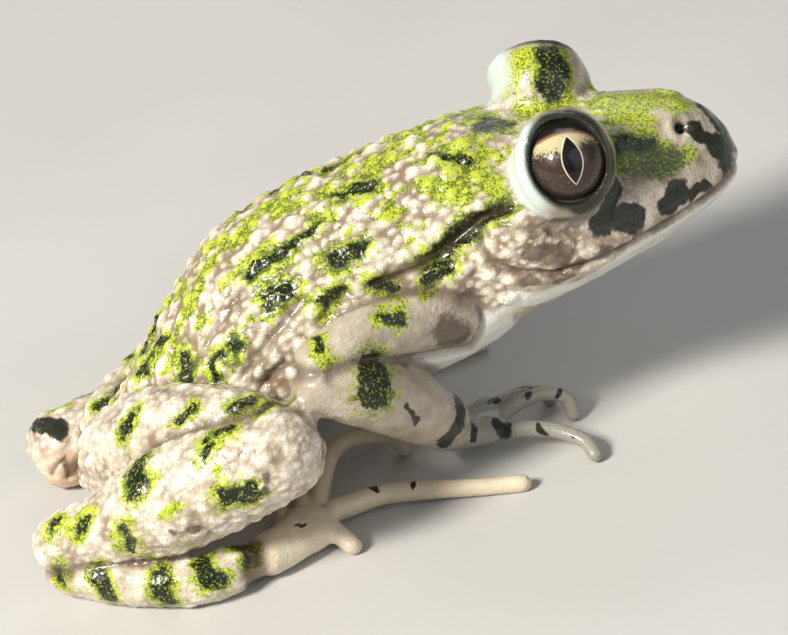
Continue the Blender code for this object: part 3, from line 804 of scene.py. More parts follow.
# How marks are shaken out of shape: reach and lump size in millimetres, coarse and fine. How far the left
# side's marks are moved from the mirrored places, and by how much their size is changed.
MARK_WAVES = ((0.5, 1.6), (0.22, 0.5))
LEFT_SHIFT = 0.2
LEFT_SIZES = (0.85, 1.15)

# The lime network of the back: lump size, how much longer its lumps are along the body than across,
# the slope they follow, and the level of noise above which the skin is lime
MOSS_SIZE = 0.95
MOSS_STRETCH = 2.2
MOSS_SLOPE = math.radians(32)
MOSS_LEVEL = 0.03

# The network's contrast and most, how far past the neck it goes, the levels from belly to back over which
# it comes in, how far it is held back elsewhere, and over which x and how far it thins out to the rump
MOSS_CONTRAST = 2.0
MOSS_MOST = 0.8
MOSS_PAST_NECK = 2
MOSS_BACK = (0.45, 1.0)
MOSS_HELD = 2.6
MOSS_RUMP = (4.0, 12.0)
MOSS_THINNED = 0.35

# How far the network's noise frays the lime marks, and the lump size of the skin's slow change of tone
LIME_FRAY = 0.4
CLOUD_LUMP = 1.4

# The pieces of a hind leg, how much facing inward and facing down count for its warm inner skin, and the
# sums of these over which that comes in
HIND_LEG = ("thigh", "shank", "tarsus")
INNER_FACING = (0.8, 0.6)
INNER_FADE = (0.1, 0.8)

# In millimetres: what stands for far away, the least height of the body, and the room about a limb within
# which it is looked for
FAR_OFF = 9.0
LEAST_HEIGHT = 0.5
LIMB_ROOM = 1.2


def read_sections(rows, x):
    """Each column of the rows but the first, read at every x."""
    table = np.array(sorted(rows)).T
    return [np.interp(x, table[0], column) for column in table[1:]]


def body_place(points):
    """How far each point is outside the trunk and head, about, and its height from belly 0 to back 1."""
    x, y, z = points.T
    tops = [(r[0], r[1], r[4]) for r in TRUNK[:-1]] + [(r[0], r[1], r[3]) for r in SKULL[2:]]
    feet = [(r[2], r[3]) for r in TRUNK[:-2]] + [(r[0], r[2]) for r in JAW[1:]]
    back, half = read_sections(tops, x)
    (belly,) = read_sections(feet, x)
    tall = np.maximum(back - belly, LEAST_HEIGHT)
    level = (z - belly) / tall
    share = np.abs(y / half) ** TRUNK_SQUARE + np.abs((level - 0.5) * 2) ** TRUNK_SQUARE
    return (share ** (1 / TRUNK_SQUARE) - 1) * np.minimum(half, tall / 2), np.clip(level, 0, 1)


def limb_places(points):
    """For each limb piece, the vertices near it, how far outside it they are, and the way it runs there."""
    found = {}
    for side in SIDES:
        for piece, rows in limb_rows(side).items():
            centre, wide, high, along, across, upward = limb_frame(rows)
            room = max(wide.max(), high.max()) + LIMB_ROOM
            near = np.all((points > centre.min(0) - room) & (points < centre.max(0) + room), axis=1)
            ids = np.nonzero(near)[0]
            apart = points[ids][:, None] - centre[None]
            best = np.argmin((apart**2).sum(2), axis=1)
            own = apart[np.arange(len(ids)), best]
            a = (own * across[best]).sum(1)
            u = (own * upward[best]).sum(1)
            past = np.abs((own * along[best]).sum(1))
            ratio = np.sqrt((a / wide[best]) ** 2 + (u / high[best]) ** 2)
            out = (ratio - 1) * (wide[best] + high[best]) / 2
            at_end = (best == 0) | (best == len(centre) - 1)
            cap = np.minimum(wide, high)[best] * np.sqrt(np.clip(1 - ratio**2, 0, 1))
            out = np.where(at_end, np.maximum(out, np.maximum(past - cap, 0)), out)
            found[f"{piece}_{side}"] = (ids, out, along[best])
    return found


def to_line(points, line):
    """Distance of each point from a line through the given points."""
    best = np.full(len(points), np.inf)
    for a, b in zip(line[:-1], line[1:]):
        a, b = np.asarray(a, float), np.asarray(b, float)
        t = np.clip((points - a) @ (b - a) / max((b - a) @ (b - a), TINY), 0, 1)
        best = np.minimum(best, np.linalg.norm(points - a - t[:, None] * (b - a), axis=1))
    return best


def to_place(points, place, sign):
    """Distance of each point from a place of the right side, or from its mirror image."""
    return np.linalg.norm(points - on_side(place, sign), axis=1)


def to_pair(points, place):
    """Distance of each point from the place or its mirror image, whichever is nearer."""
    return np.minimum(*(to_place(points, place, sign) for sign in SIDES.values()))


def limb_point(side, piece, station, turn):
    """The place on a limb's surface at a station and a turn. On the left the turn is mirrored."""
    centre, wide, high, _, across, upward = limb_frame(limb_rows(side)[piece])
    i = round(station * (len(centre) - 1))
    a = math.radians(turn if side == "right" else 180 - turn)
    return centre[i] + across[i] * wide[i] * math.cos(a) + upward[i] * high[i] * math.sin(a)


def mark_lines(kind, draw):
    """Every mark of a kind as two ends and a half width. Those of the left are moved a little."""
    found = [(np.array(a), np.array(b), half) for a, b, half in LEFT_MARKS.get(kind, [])]
    for side, sign in SIDES.items():
        for a, b, half in MARKS[kind]:
            a, b = (np.array(on_side(place, sign)) for place in (a, b))
            if side == "left":
                move, size = draw.normal(0, LEFT_SHIFT, 3), draw.uniform(*LEFT_SIZES)
                a, b, half = a + move, b + move, half * size
            found.append((a, b, half))
        for piece, t0, turn0, t1, turn1, half in LIMB_MARKS[kind]:
            found.append((limb_point(side, piece, t0, turn0), limb_point(side, piece, t1, turn1), half))
    return found


def mark_field(points, lines, extra):
    """1 on a mark's line, 0 at its half width plus extra, down to -1 away from all marks."""
    field = np.full(len(points), -1.0)
    for a, b, half in lines:
        reach = (half + extra) * 2
        low, high = np.minimum(a, b) - reach, np.maximum(a, b) + reach
        ids = np.nonzero(np.all((points > low) & (points < high), axis=1))[0]
        value = 1 - to_line(points[ids], [a, b]) / (half + extra)
        field[ids] = np.maximum(field[ids], value)
    return field


def smooth_step(x, low, high):
    """0 up to low, 1 from high on, and a smooth rise between."""
    t = np.clip((x - low) / (high - low), 0, 1)
    return t * t * (3 - 2 * t)


def bell(distance, width):
    """1 at no distance, falling to almost 0 at twice the width."""
    return np.exp(-((distance / width) ** 2))


# The finer lumps in cloudy noise: their weight, how much finer each kind is, and how many kinds
FINER_LUMPS = (0.7, 2.0, 4)


def cloudy(points, size):
    """Noise about 0 whose lumps are of that size in millimetres, with finer ones in them."""
    return np.array([noise.fractal(p, *FINER_LUMPS) for p in points / size])


def shaken(points, waves):
    """The points moved about by slow noise, so that what is measured from them comes out uneven."""
    moved = np.array(points)
    for reach, size in waves:
        moved += reach * np.array([noise.noise_vector(p) for p in points / size])
    return moved


# Warts by zone: radius, spacing and height of the small ones, then of the large ones among them
WARTS = {
    "trunk": (0.27, 0.50, 0.12, 0.48, 1.10, 0.27),
    "belly": (0.22, 0.44, 0.02, 0, 0, 0),
    "crown": (0.19, 0.42, 0.05, 0.34, 1.30, 0.09),
    "cheek": (0.22, 0.42, 0.09, 0.38, 0.95, 0.17),
    "snout": (0.14, 0.34, 0.015, 0, 0, 0),
    "lids": (0.12, 0.30, 0.008, 0, 0, 0),
    "thigh": (0.22, 0.44, 0.07, 0.40, 1.15, 0.15),
    "shank": (0.22, 0.44, 0.07, 0.40, 1.15, 0.14),
    "upper_arm": (0.17, 0.36, 0.03, 0.30, 1.50, 0.05),
    "forearm": (0.17, 0.36, 0.03, 0.30, 1.50, 0.05),
    "tarsus": (0.20, 0.42, 0.05, 0.32, 1.30, 0.08),
    "sole": (0.16, 0.36, 0.03, 0, 0, 0),
    "palm": (0.14, 0.34, 0.02, 0, 0, 0),
}

# How much warts differ in size, how their outlines are shaken, how much longer than wide they are, how
# round their tops are, how far about their middle they are looked for, and the heights between which they
# come to show in the colours
WART_SIZES = (0.65, 1.3)
WART_WAVES = ((0.22, 0.7),)
WART_STRETCH = 1.25
WART_POWER = 1.3
WART_SEARCH = 1.2
WART_SHOWN = (0.01, 0.1)

# Where the zones of warts begin: neck and snout along the body, the belly as a share of the body's height,
# the jaw's level, and the reach about the middle of the cheek and beyond the eyeball
NECK_X = 25.5
SNOUT_X = 33.5
BELLY_LEVEL = 0.34
JAW_LEVEL = 11.9
CHEEK_REACH = 2.9
LID_REACH = 1.0

# Slow unevenness of the skin: height, lump size and the share of it that the digits have
UNEVEN = 0.05
UNEVEN_SIZE = 0.9
UNEVEN_DIGITS = 0.3

# How bright small warts, wartless skin and the valleys of the legs are beside the tops of large warts
SMALL_TOP = 0.75
SMOOTH_TONE = 0.5
LEG_TONE = 0.25

# How shallow the warts are in the creases, and how far their heights are evened out
CREASE_CALM = 0.7
WART_RELAX = 0.3

# The seeds of the wart places and left marks, and of the noise that shakes outlines
SEED = 11
NOISE_SEED = 8


def skin_map(points):
    """What part of the frog each point belongs to, its grain direction and its distances to the limbs."""
    count = len(points)
    body_out, level = body_place(points)
    places = limb_places(points)
    nearest, owner = body_out.copy(), np.zeros(count, int)
    back_x, back_z = np.array(TRUNK)[:, :2].T
    slope = np.interp(points[:, 0], back_x, np.gradient(back_z, back_x))
    slope = np.where(points[:, 0] > NECK_X, 0.0, slope)
    grain = unit(np.stack([np.ones(count), np.zeros(count), slope], axis=1))
    names = ["body", *places]
    for k, name in enumerate(names[1:], 1):
        ids, out, along = places[name]
        closer = out < nearest[ids]
        nearest[ids[closer]] = out[closer]
        owner[ids[closer]] = k
        grain[ids[closer]] = along[closer]
    return {
        "level": level,
        "body_out": body_out,
        "names": names,
        "owner": owner,
        "grain": grain,
        "limb": limb_distances(count, places),
    }


def limb_distances(count, places):
    """For each limb piece of either side, how far each point is outside it."""
    found = {}
    for name, (ids, out, _) in places.items():
        found[name] = np.full(count, FAR_OFF)
        found[name][ids] = out
    return found


def owned(skin, *pieces):
    """True where a point belongs to one of these pieces, on either side."""
    wanted = [k for k, name in enumerate(skin["names"]) if name.rsplit("_", 1)[0] in pieces]
    return np.isin(skin["owner"], wanted)


def creases(skin):
    """1 along the lines where two pieces press on each other, falling to 0 beside them."""
    found = 0.0
    for side in SIDES:
        for a, b in PRESSED:
            if (a, b, side) == SMOOTH_JOIN:
                continue
            one = skin["limb"][f"{a}_{side}"]
            two = skin["body_out"] if b == "body" else skin["limb"][f"{b}_{side}"]
            outer = np.maximum(one, two)
            met = bell(one - two, CREASE_WIDTH) * (outer < CREASE_REACH)
            found = np.maximum(found, met * smooth_step(outer, *CREASE_START))
    return found


def mouth_groove(points):
    """1 in the line of the mouth, and the height above it."""
    x, z = points[:, 0], points[:, 2]
    above = z - np.interp(x, *zip(*MOUTH_LINE))
    corner = MOUTH_LINE[0][0]
    near = (z > MOUTH_LEVEL) * (np.abs(above) < MOUTH_BAND)
    ahead = smooth_step(x, corner, corner + MOUTH_FADE) * near
    return bell(above, MOUTH_WIDTH) * ahead, np.where(ahead > 0, above, FAR_OFF)


def fold_heights(points):
    """How far the folds of the head and trunk raise or lower each point, then how deep it lies in one of
    their hollows and in a nostril, both from 0 to 1. These two also set where painted shade goes."""
    height, hollow, pit = np.zeros((3, len(points)))
    for sign in SIDES.values():
        for width, rise, line in FOLDS.values():
            share = bell(to_line(points, [on_side(place, sign) for place in line]), width)
            height += share * rise
            if rise < 0:
                hollow = np.maximum(hollow, share * min(1.0, -rise / FULL_HOLLOW))
        place, radius, rise = SHOULDER_WART
        height += rise * bell(to_place(points, place, sign), radius)
        place, radius, depth = NOSTRIL
        far = to_place(points, place, sign)
        rim, ring, width = NOSTRIL_RIM
        height += rim * bell(far - radius * ring, radius * width) - depth * bell(far, radius)
        pit = np.maximum(pit, bell(far, radius * NOSTRIL_SHADE_REACH))
    return height, hollow, pit


def wart_zones(points, skin):
    """The row of WARTS for each point; the spacings are 0 where there are none."""
    table = np.zeros((len(points), 6))
    x, z, level = points[:, 0], points[:, 2], skin["level"]
    body = owned(skin, "body")
    eye, cheek = to_pair(points, EYE_CENTRE), to_pair(points, CHEEK_BULGE[0])
    table[body] = WARTS["trunk"]
    table[body & (level < BELLY_LEVEL)] = WARTS["belly"]
    table[body & (x > NECK_X)] = WARTS["crown"]
    table[body & (cheek < CHEEK_REACH) & (z > JAW_LEVEL)] = WARTS["cheek"]
    table[body & (x > NECK_X) & (z < JAW_LEVEL)] = WARTS["belly"]
    table[body & (x > SNOUT_X)] = WARTS["snout"]
    table[eye < EYE_RADIUS + LID_REACH] = WARTS["lids"]
    for piece, zone in WARTS.items():
        table[owned(skin, piece)] = zone
    return table


def grow_warts(points, normals, grain, tier, draw):
    """How far warts of one tier raise each point, and how near each is to a wart's top."""
    radius, spacing, height = tier.T
    bent = shaken(points, WART_WAVES)
    tree = kdtree.KDTree(len(points))
    for i, p in enumerate(points):
        tree.insert(p, i)
    tree.balance()
    free = spacing > 0
    rise, top = np.zeros(len(points)), np.zeros(len(points))
    for i in draw.permutation(len(points)):
        if not free[i]:
            continue
        size = radius[i] * draw.uniform(*WART_SIZES)
        found = tree.find_range(points[i], max(spacing[i], size * WART_STRETCH * WART_SEARCH))
        near = np.array([n for _, n, _ in found])
        free[near[np.array([d for *_, d in found]) < spacing[i]]] = False
        along = unit(grain[i] - (grain[i] @ normals[i]) * normals[i])
        across = np.cross(normals[i], along)
        apart = bent[near] - bent[i]
        share = (apart @ along / (size * WART_STRETCH)) ** 2 + (apart @ across / size) ** 2
        dome = np.clip(1 - share, 0, 1) ** WART_POWER
        rise[near] = np.maximum(rise[near], dome * height[i] * size / radius[i])
        top[near] = np.maximum(top[near], dome)
    shown = smooth_step(height, *WART_SHOWN)
    return rise, top * shown + SMOOTH_TONE * (1 - shown) * (spacing > 0)


def lid_place(points, sign):
    """For each point, how far it is from the middle of one eye's opening, as if that were round and
    measured along its width, how far out along the look axis, and its turn (0 forward, 90 up)."""
    local = eye_matrix(sign).inverted()
    turned = points @ np.array(local.to_3x3()).T + np.array(local.translation)
    _, _, taller, behind = LID_OPENING
    forward, up = turned[:, 0] * -sign + behind, turned[:, 1] / taller
    return np.hypot(forward, up), turned[:, 2], np.arctan2(up, forward)


def toward(turn, degrees):
    """1 where a turn has that direction, 0 at right angles to it and beyond."""
    return np.clip(np.cos(turn - math.radians(degrees)), 0, 1)


# The lids' near-black rim, dark skin with painted shade where the lids meet the ball and in the front
# corner, in
# the measures of lid_place: where it comes in along the look axis, how far it goes from the opening's
# middle, over what it fades, and the turns in degrees toward which it goes further, with how much (and,
# ahead, how sharply)
RIM_OUT = (0.45, 0.9)
RIM_FAR = 2.06
RIM_FADE = 0.22
RIM_ABOVE = (80, 0.12)
RIM_AHEAD = (-18, 1.0, 0.8)

# The pale skin behind the eye: the turn that it lies toward with the shares between which it comes in, and
# where it fades out from the middle and comes in along the look axis
PALE_TURN = (171, 0.42, 0.8)
PALE_FAR = (2.7, 3.1)
PALE_OUT = (-1.9, -0.9)

# The grey skin round the eye: the turn of its lower part with its sharpness, where that part comes in along
# the look axis, the turn of its upper part, and where both fade out from the middle
GREY_BELOW = (-85, 0.4)
GREY_OUT = (-0.5, 0.2)
GREY_ABOVE = 75
GREY_FAR = (2.8, 3.3)


def lid_fields(points):
    """The near-black inner edge of the lids with painted shade at the ball and in the front corner, the pale
    swollen skin behind, and the grey skin round it.
    """
    fields = {name: np.zeros(len(points)) for name in ("lid_rim_and_shade", "lid_pale", "lid_grey")}
    for sign in SIDES.values():
        far, out, turn = lid_place(points, sign)
        near = smooth_step(out, *RIM_OUT)
        above, ahead, below = (toward(turn, rule[0]) for rule in (RIM_ABOVE, RIM_AHEAD, GREY_BELOW))
        edge = RIM_FAR + RIM_ABOVE[1] * above + RIM_AHEAD[1] * ahead ** RIM_AHEAD[2]
        behind = smooth_step(toward(turn, PALE_TURN[0]), *PALE_TURN[1:])
        below = below ** GREY_BELOW[1] * smooth_step(out, *GREY_OUT)
        grey = np.maximum(below, toward(turn, GREY_ABOVE) * near)
        found = {
            "lid_rim_and_shade": (1 - smooth_step(far, edge, edge + RIM_FADE)) * near,
            "lid_pale": behind * (1 - smooth_step(far, *PALE_FAR)) * smooth_step(out, *PALE_OUT),
            "lid_grey": grey * (1 - smooth_step(far, *GREY_FAR)),
        }
        for name, values in found.items():
            fields[name] = np.maximum(fields[name], values)
    return fields


# Rounds of evening out: the folds, the warts' heights and the colour areas
FOLD_ROUNDS = 2
WART_ROUNDS = 1
AREA_ROUNDS = {"under": 6, "warm": 8, "arm": 12, "digit": 12, "hand": 12}

# The pale underside. On the head its edge rises towards the mouth line over a stretch of x. The pairs are
# the height from that line behind the stretch, and the rise, of where it is full and of where it ends. On
# the trunk it fades over these levels, and on the limbs by how far down the skin faces.
UNDER_STRETCH = (29.0, 32.0)
UNDER_FULL = (-1.6, 1.1)
UNDER_END = (-0.9, 0.75)
UNDER_LEVELS = (0.22, 0.42)
UNDER_FACING = (-0.97, -0.75)


def pale_underside(points, normals, skin, above):
    """1 on the throat, the belly and the undersides of the limbs, 0 elsewhere."""
    x = points[:, 0]
    ahead = smooth_step(x, *UNDER_STRETCH)
    full, end = (height + rise * ahead for height, rise in (UNDER_FULL, UNDER_END))
    belly = 1 - smooth_step(skin["level"], *UNDER_LEVELS)
    throat = np.where(x > NECK_X, 1 - smooth_step(above, full, end), belly)
    return np.where(owned(skin, "body"), throat, 1 - smooth_step(normals[:, 2], *UNDER_FACING))


def colour_areas(points, normals, skin, above):
    """The areas that have a colour of their own, before their edges are softened."""
    hand = owned(skin, "palm", *FINGERS)
    return {
        "under": pale_underside(points, normals, skin, above),
        "digit": owned(skin, "palm", "sole", *DIGITS),
        "arm": hand | owned(skin, "upper_arm", "forearm"),
        "hand": hand,
        "warm": inner_leg(points, skin, normals),
    }


def build_skin(settings):
    """The whole skin as one mesh in the frame's metres, with its markings as named attributes."""
    draw = np.random.default_rng(SEED)
    noise.seed_set(NOISE_SEED)
    skin_piece = skin_base(settings.grain)
    mesh = skin_piece.data
    edges = read_edges(mesh)
    points, normals = read_points(mesh), read_normals(mesh)
    skin = skin_map(points)
    seam = creases(skin)
    fold, hollow, pit = fold_heights(points)
    groove, above = mouth_groove(points)
    lips = LIP_SWELL * sum(bell(above - height, LIP_WIDTH) for height in LIP_HEIGHTS)
    uneven = UNEVEN * np.array([noise.noise(p) for p in points / UNEVEN_SIZE])
    rise = relax(fold - CREASE_DEPTH * seam - MOUTH_DEPTH * groove + lips, edges, FOLD_ROUNDS)
    rise += np.where(owned(skin, *DIGITS), UNEVEN_DIGITS, 1.0) * uneven
    points = points + normals * rise[:, None]
    write_points(mesh, points)
    normals = read_normals(mesh)
    zones = wart_zones(points, skin)
    small, small_top = grow_warts(points, normals, skin["grain"], zones[:, :3], draw)
    large, large_top = grow_warts(points, normals, skin["grain"], zones[:, 3:], draw)
    top = np.maximum(large_top, small_top * SMALL_TOP)
    calm = 1 - np.maximum.reduce([groove, hollow, pit, np.clip(seam, 0, 1) * CREASE_CALM])
    wart = relax(np.maximum(large, small), edges, WART_ROUNDS, WART_RELAX) * settings.wart_height
    points = points + normals * (wart * calm)[:, None]
    points[:, 2] = np.maximum(points[:, 2], 0.0)
    write_points(mesh, points)

    fields = marking_fields(points, skin, draw) | lid_fields(points)
    fields["wart"] = np.where(owned(skin, *HIND_LEG), LEG_TONE + (1 - LEG_TONE) * top, top) * calm
    # Painted shade, darkening the creases between pressed pieces, the hollows of the folds and the line of
    # the mouth
    fields["crease_shade"] = np.maximum.reduce([seam, hollow, groove])
    # Painted shade inside the nostril
    fields["pit"] = pit
    for name, values in colour_areas(points, normals, skin, above).items():
        fields[name] = relax(values, edges, AREA_ROUNDS[name])
    for name, values in fields.items():
        made = mesh.attributes.new(name, "FLOAT", "POINT")
        made.data.foreach_set("value", np.ascontiguousarray(values, np.float32))
    mesh.transform(TO_FRAME)
    mesh.shade_smooth()
    return skin_piece


def marking_fields(points, skin, draw):
    """How far inside each kind of mark the points are, 0 at its edge and up to 1 inside."""
    loose = shaken(points, MARK_WAVES)
    lines = {kind: mark_lines(kind, draw) for kind in MARKS}
    fields = {kind: mark_field(loose, found, 0.0) for kind, found in lines.items()}
    c, s = math.cos(MOSS_SLOPE), math.sin(MOSS_SLOPE)
    drawn_out = points @ np.array([[c / MOSS_STRETCH, 0, -s], [0, 1, 0], [s / MOSS_STRETCH, 0, c]])
    moss = cloudy(drawn_out, MOSS_SIZE)
    on_back = owned(skin, "body") & (points[:, 0] < NECK_X + MOSS_PAST_NECK)
    back = np.where(on_back, smooth_step(skin["level"], *MOSS_BACK), 0.0)
    rump = 1 - smooth_step(points[:, 0], *MOSS_RUMP)
    halo = mark_field(loose, lines["heart"], HALO) + HALO_UNEVEN * cloudy(points, HALO_LUMP)
    network = (moss - MOSS_LEVEL) * MOSS_CONTRAST - MOSS_HELD * (1 - back) - MOSS_THINNED * rump
    lime = fields["lime"] + LIME_FRAY * moss
    fields["lime"] = np.maximum.reduce([lime, halo, np.minimum(network, MOSS_MOST)])
    fields["cloud"] = cloudy(points, CLOUD_LUMP)
    return fields


def inner_leg(points, skin, normals):
    """Where the thin skin of the hidden faces of the hind legs shows warm through."""
    inward = np.where(points[:, 1] < 0, normals[:, 1], -normals[:, 1])
    sideways, down = INNER_FACING
    return owned(skin, *HIND_LEG) * smooth_step(inward * sideways - normals[:, 2] * down, *INNER_FADE)


class Nodes:
    """Short ways to add and join the nodes of one tree."""

    def __init__(self, tree):
        self.tree = tree
        tree.nodes.clear()

    def add(self, kind, values=None, **settings):
        made = self.tree.nodes.new(kind)
        for name, value in settings.items():
            setattr(made, name, value)
        for key, value in (values or {}).items():
            self.feed(made.inputs[key], value)
        return made

    def feed(self, socket, value):
        if isinstance(value, bpy.types.NodeSocket):
            self.tree.links.new(value, socket)
        elif socket.type == "RGBA" and len(value) == 3:
            socket.default_value = (*value, 1.0)
        else:
            socket.default_value = value

    def math(self, operation, *values):
        return self.add("ShaderNodeMath", dict(enumerate(values)), operation=operation).outputs[0]

    def mix(self, share, a, b):
        return self.add("ShaderNodeMix", {0: share, 6: a, 7: b}, data_type="RGBA").outputs[2]

    def step(self, value, low, high, start=0.0, end=1.0):
        values = {"Value": value, "From Min": low, "From Max": high, "To Min": start, "To Max": end}
        return self.add("ShaderNodeMapRange", values, interpolation_type="SMOOTHSTEP").outputs[0]

    def noise(self, place, scale, detail, rough):
        values = {"Vector": place, "Scale": scale, "Detail": detail, "Roughness": rough}
        return self.add("ShaderNodeTexNoise", values).outputs["Fac"]

    def field(self, name):
        return self.add("ShaderNodeAttribute", attribute_name=name).outputs["Fac"]

    def bump(self, height, strength, distance):
        values = {"Strength": strength, "Distance": distance, "Height": height}
        return self.add("ShaderNodeBump", values).outputs[0]

    def surface(self, values):
        shader = self.add("ShaderNodeBsdfPrincipled", values)
        self.add("ShaderNodeOutputMaterial", {"Surface": shader.outputs[0]})

    def group(self, tree, values):
        made = self.add("ShaderNodeGroup", node_tree=tree)
        for key, value in values.items():
            self.feed(made.inputs[key], value)
        return made.outputs[0]


def new_material(name):
    """An empty material and its nodes."""
    made = bpy.data.materials.new(name)
    made.use_nodes = True
    return made, Nodes(made.node_tree)


def shader_group(name, inputs, result):
    """An empty shader node group with float and vector inputs and one output."""
    tree = bpy.data.node_groups.new(name, "ShaderNodeTree")
    nodes = Nodes(tree)
    for label, value in inputs.items():
        kind = "NodeSocketVector" if value is None else "NodeSocketFloat"
        socket = tree.interface.new_socket(label, in_out="INPUT", socket_type=kind)
        if value is not None:
            socket.default_value = value
    tree.interface.new_socket(result, in_out="OUTPUT", socket_type="NodeSocketFloat")
    return tree, nodes, nodes.add("NodeGroupInput").outputs, nodes.add("NodeGroupOutput").inputs[0]


def ragged_edge():
    """A group that turns a field into a mask whose edge is frayed by the noise it is given."""
    inputs = {"Field": 0.0, "Noise": 0.5, "Fray": 0.6, "Edge": 0.0, "Softness": 0.1}
    tree, nodes, given, result = shader_group("Ragged Edge", inputs, "Mask")
    torn = nodes.math("MULTIPLY", nodes.math("SUBTRACT", given["Noise"], 0.5), given["Fray"])
    value = nodes.math("SUBTRACT", nodes.math("ADD", given["Field"], torn), given["Edge"])
    low = nodes.math("MULTIPLY", given["Softness"], -1.0)
    tree.links.new(nodes.step(value, low, given["Softness"]), result)
    return tree


def fine_grain():
    """A group that gives the height of a fine pebbled surface."""
    tree, nodes, given, result = shader_group("Fine Grain", {"Place": None, "Size": 0.1}, "Height")
    fine = nodes.math("DIVIDE", 1.0, given["Size"])
    cells = nodes.add("ShaderNodeTexVoronoi", {"Vector": given["Place"], "Scale": fine})
    tree.links.new(nodes.math("SUBTRACT", 1.0, cells.outputs["Distance"]), result)
    return tree


def millimetres(nodes):
    """The place on the object in millimetres, so that scales read as marks to the millimetre."""
    place = nodes.add("ShaderNodeTexCoord").outputs["Object"]
    return nodes.add("ShaderNodeVectorMath", {0: place, 1: (1 / MM,) * 3}, operation="MULTIPLY").outputs[0]


# Noises of the skin's colours: scale to the millimetre, detail and roughness
GRIT = (2.8, 3.0, 0.7)
SPECK = (7.5, 1.0, 0.5)

# Masks of the markings: how far noise frays them, where in the field their edge lies and how soft it is,
# and how strongly they cover
MASKS = {
    "under": (0.8, 0.5, 0.25, 1.0),
    "lime": (1.9, 0.08, 0.28, 1.0),
    "green": (1.6, 0.05, 0.3, 1.0),
    "brown": (1.3, 0.1, 0.3, 0.85),
    "heart": (1.1, 0.04, 0.12, 1.0),
    "spot": (0.6, 0.06, 0.14, 0.97),
}

# How strongly the colours of the other fields cover
COVER = {
    "arm": 0.6,
    "digit": 0.8,
    "hand": 0.85,
    "warm": 0.45,
    "crease_shade": 0.6,
    "lid_grey": 0.8,
    "lid_pale": 0.95,
    "lid_rim_and_shade": 0.93,
}

# Soft steps in the skin's colours: the values between which each comes in, then its share at either end
# where that isn't 0 and 1
SKIN_STEPS = {
    "ground": (-0.1, 0.55),
    "wart_tip_and_highlight": (0.4, 1.0, 0.0, 0.85),
    "dark_speck": (0.52, 0.68, 0.0, 0.45),
    "near_heart": (-0.7, 0.1, 0.0, 0.3),
    "moss": (0.64, 1.2),
    "leaf": (0.82, 1.25, 0.0, 0.75),
    "broken_heart": (0.54, 0.68, 1.0, 0.45),
    "pit": (0.25, 0.6),
    "roughness": (0.2, 0.9, 0.30, 0.46),
}

# How much the slow change of tone counts beside the warts, and how much the warts (a painted highlight on
# their tops) and the specks make the lime brighter
CLOUD_TONE = 0.45
WART_BRIGHT = 0.5
SPECK_BRIGHT = 1.6

# The finest grain, in millimetres, with its strength, and the wet coat over the skin
PEBBLE = 0.17
PEBBLE_STRENGTH = 0.5
WET_SKIN = {"IOR": 1.36, "Coat Roughness": 0.08, "Coat IOR": 1.4}


def skin_material(settings, groups):
    """Pale warts in brown valleys, with painted highlights on the wart tops and painted shade in the
    valleys, creases, nostrils and lids' rim; lime patches with near-black hearts, white throat and grey
    hands.
    """
    made, nodes = new_material("frog_skin")
    place = millimetres(nodes)
    grit, speck = nodes.noise(place, *GRIT), nodes.noise(place, *SPECK)
    wart, cloud = nodes.field("wart"), nodes.field("cloud")

    def mask(name):
        *edge, share = MASKS[name]
        values = {"Field": nodes.field(name), "Noise": grit} | dict(zip(("Fray", "Edge", "Softness"), edge))
        return nodes.math("MULTIPLY", nodes.group(groups["ragged"], values), share)

    def cover(name):
        return nodes.math("MULTIPLY", nodes.field(name), COVER[name])

    def step(value, name):
        return nodes.step(value, *SKIN_STEPS[name])

    # The warts' tops are lighter as a painted highlight over their own pale colour, and the valleys darker
    # as painted shade over their own brown
    tone = nodes.math("ADD", wart, nodes.math("MULTIPLY", cloud, CLOUD_TONE))
    colour = nodes.mix(step(tone, "ground"), settings.ground_shade, settings.ground)
    colour = nodes.mix(step(tone, "wart_tip_and_highlight"), colour, settings.wart_tip_and_highlight)
    colour = nodes.mix(step(speck, "dark_speck"), colour, settings.ground_shade)
    for name in ("arm", "digit", "hand"):
        colour = nodes.mix(cover(name), colour, getattr(settings, name))
    colour = nodes.mix(mask("under"), colour, settings.belly)
    colour = nodes.mix(cover("warm"), colour, settings.warm)

    # Lime: brighter on the warts' tops as a painted highlight over their own colour, olive between them, and
    # speckled all over
    shine = nodes.math("MULTIPLY", wart, WART_BRIGHT)
    bright = nodes.math("ADD", shine, nodes.math("MULTIPLY", speck, SPECK_BRIGHT))
    bright = nodes.math("SUBTRACT", bright, step(nodes.field("heart"), "near_heart"))
    moss = nodes.mix(step(bright, "moss"), settings.green, settings.lime)
    colour = nodes.mix(mask("lime"), colour, moss)
    leaf = nodes.mix(step(bright, "leaf"), settings.leaf, settings.lime)
    colour = nodes.mix(mask("green"), colour, leaf)
    colour = nodes.mix(mask("brown"), colour, settings.brown)
    heart = nodes.math("MULTIPLY", mask("heart"), step(speck, "broken_heart"))
    colour = nodes.mix(heart, colour, settings.dark)
    # Painted shade in the creases, then the grey and the pale skin round the eyes
    for name in ("crease_shade", "lid_grey", "lid_pale"):
        colour = nodes.mix(cover(name), colour, getattr(settings, name))
    # Near-black for the spots, for the lids' rim with its painted shade, and as painted shade inside the
    # nostril
    for share in (mask("spot"), cover("lid_rim_and_shade"), step(nodes.field("pit"), "pit")):
        colour = nodes.mix(share, colour, settings.dark)

    grain = nodes.group(groups["grain"], {"Place": place, "Size": PEBBLE})
    values = {
        "Base Color": colour,
        "Roughness": step(nodes.math("ADD", cloud, speck), "roughness"),
        "Normal": nodes.bump(grain, PEBBLE_STRENGTH, settings.grain_depth * MM),
        "Coat Weight": settings.wetness,
    }
    nodes.surface(values | WET_SKIN)
    return made


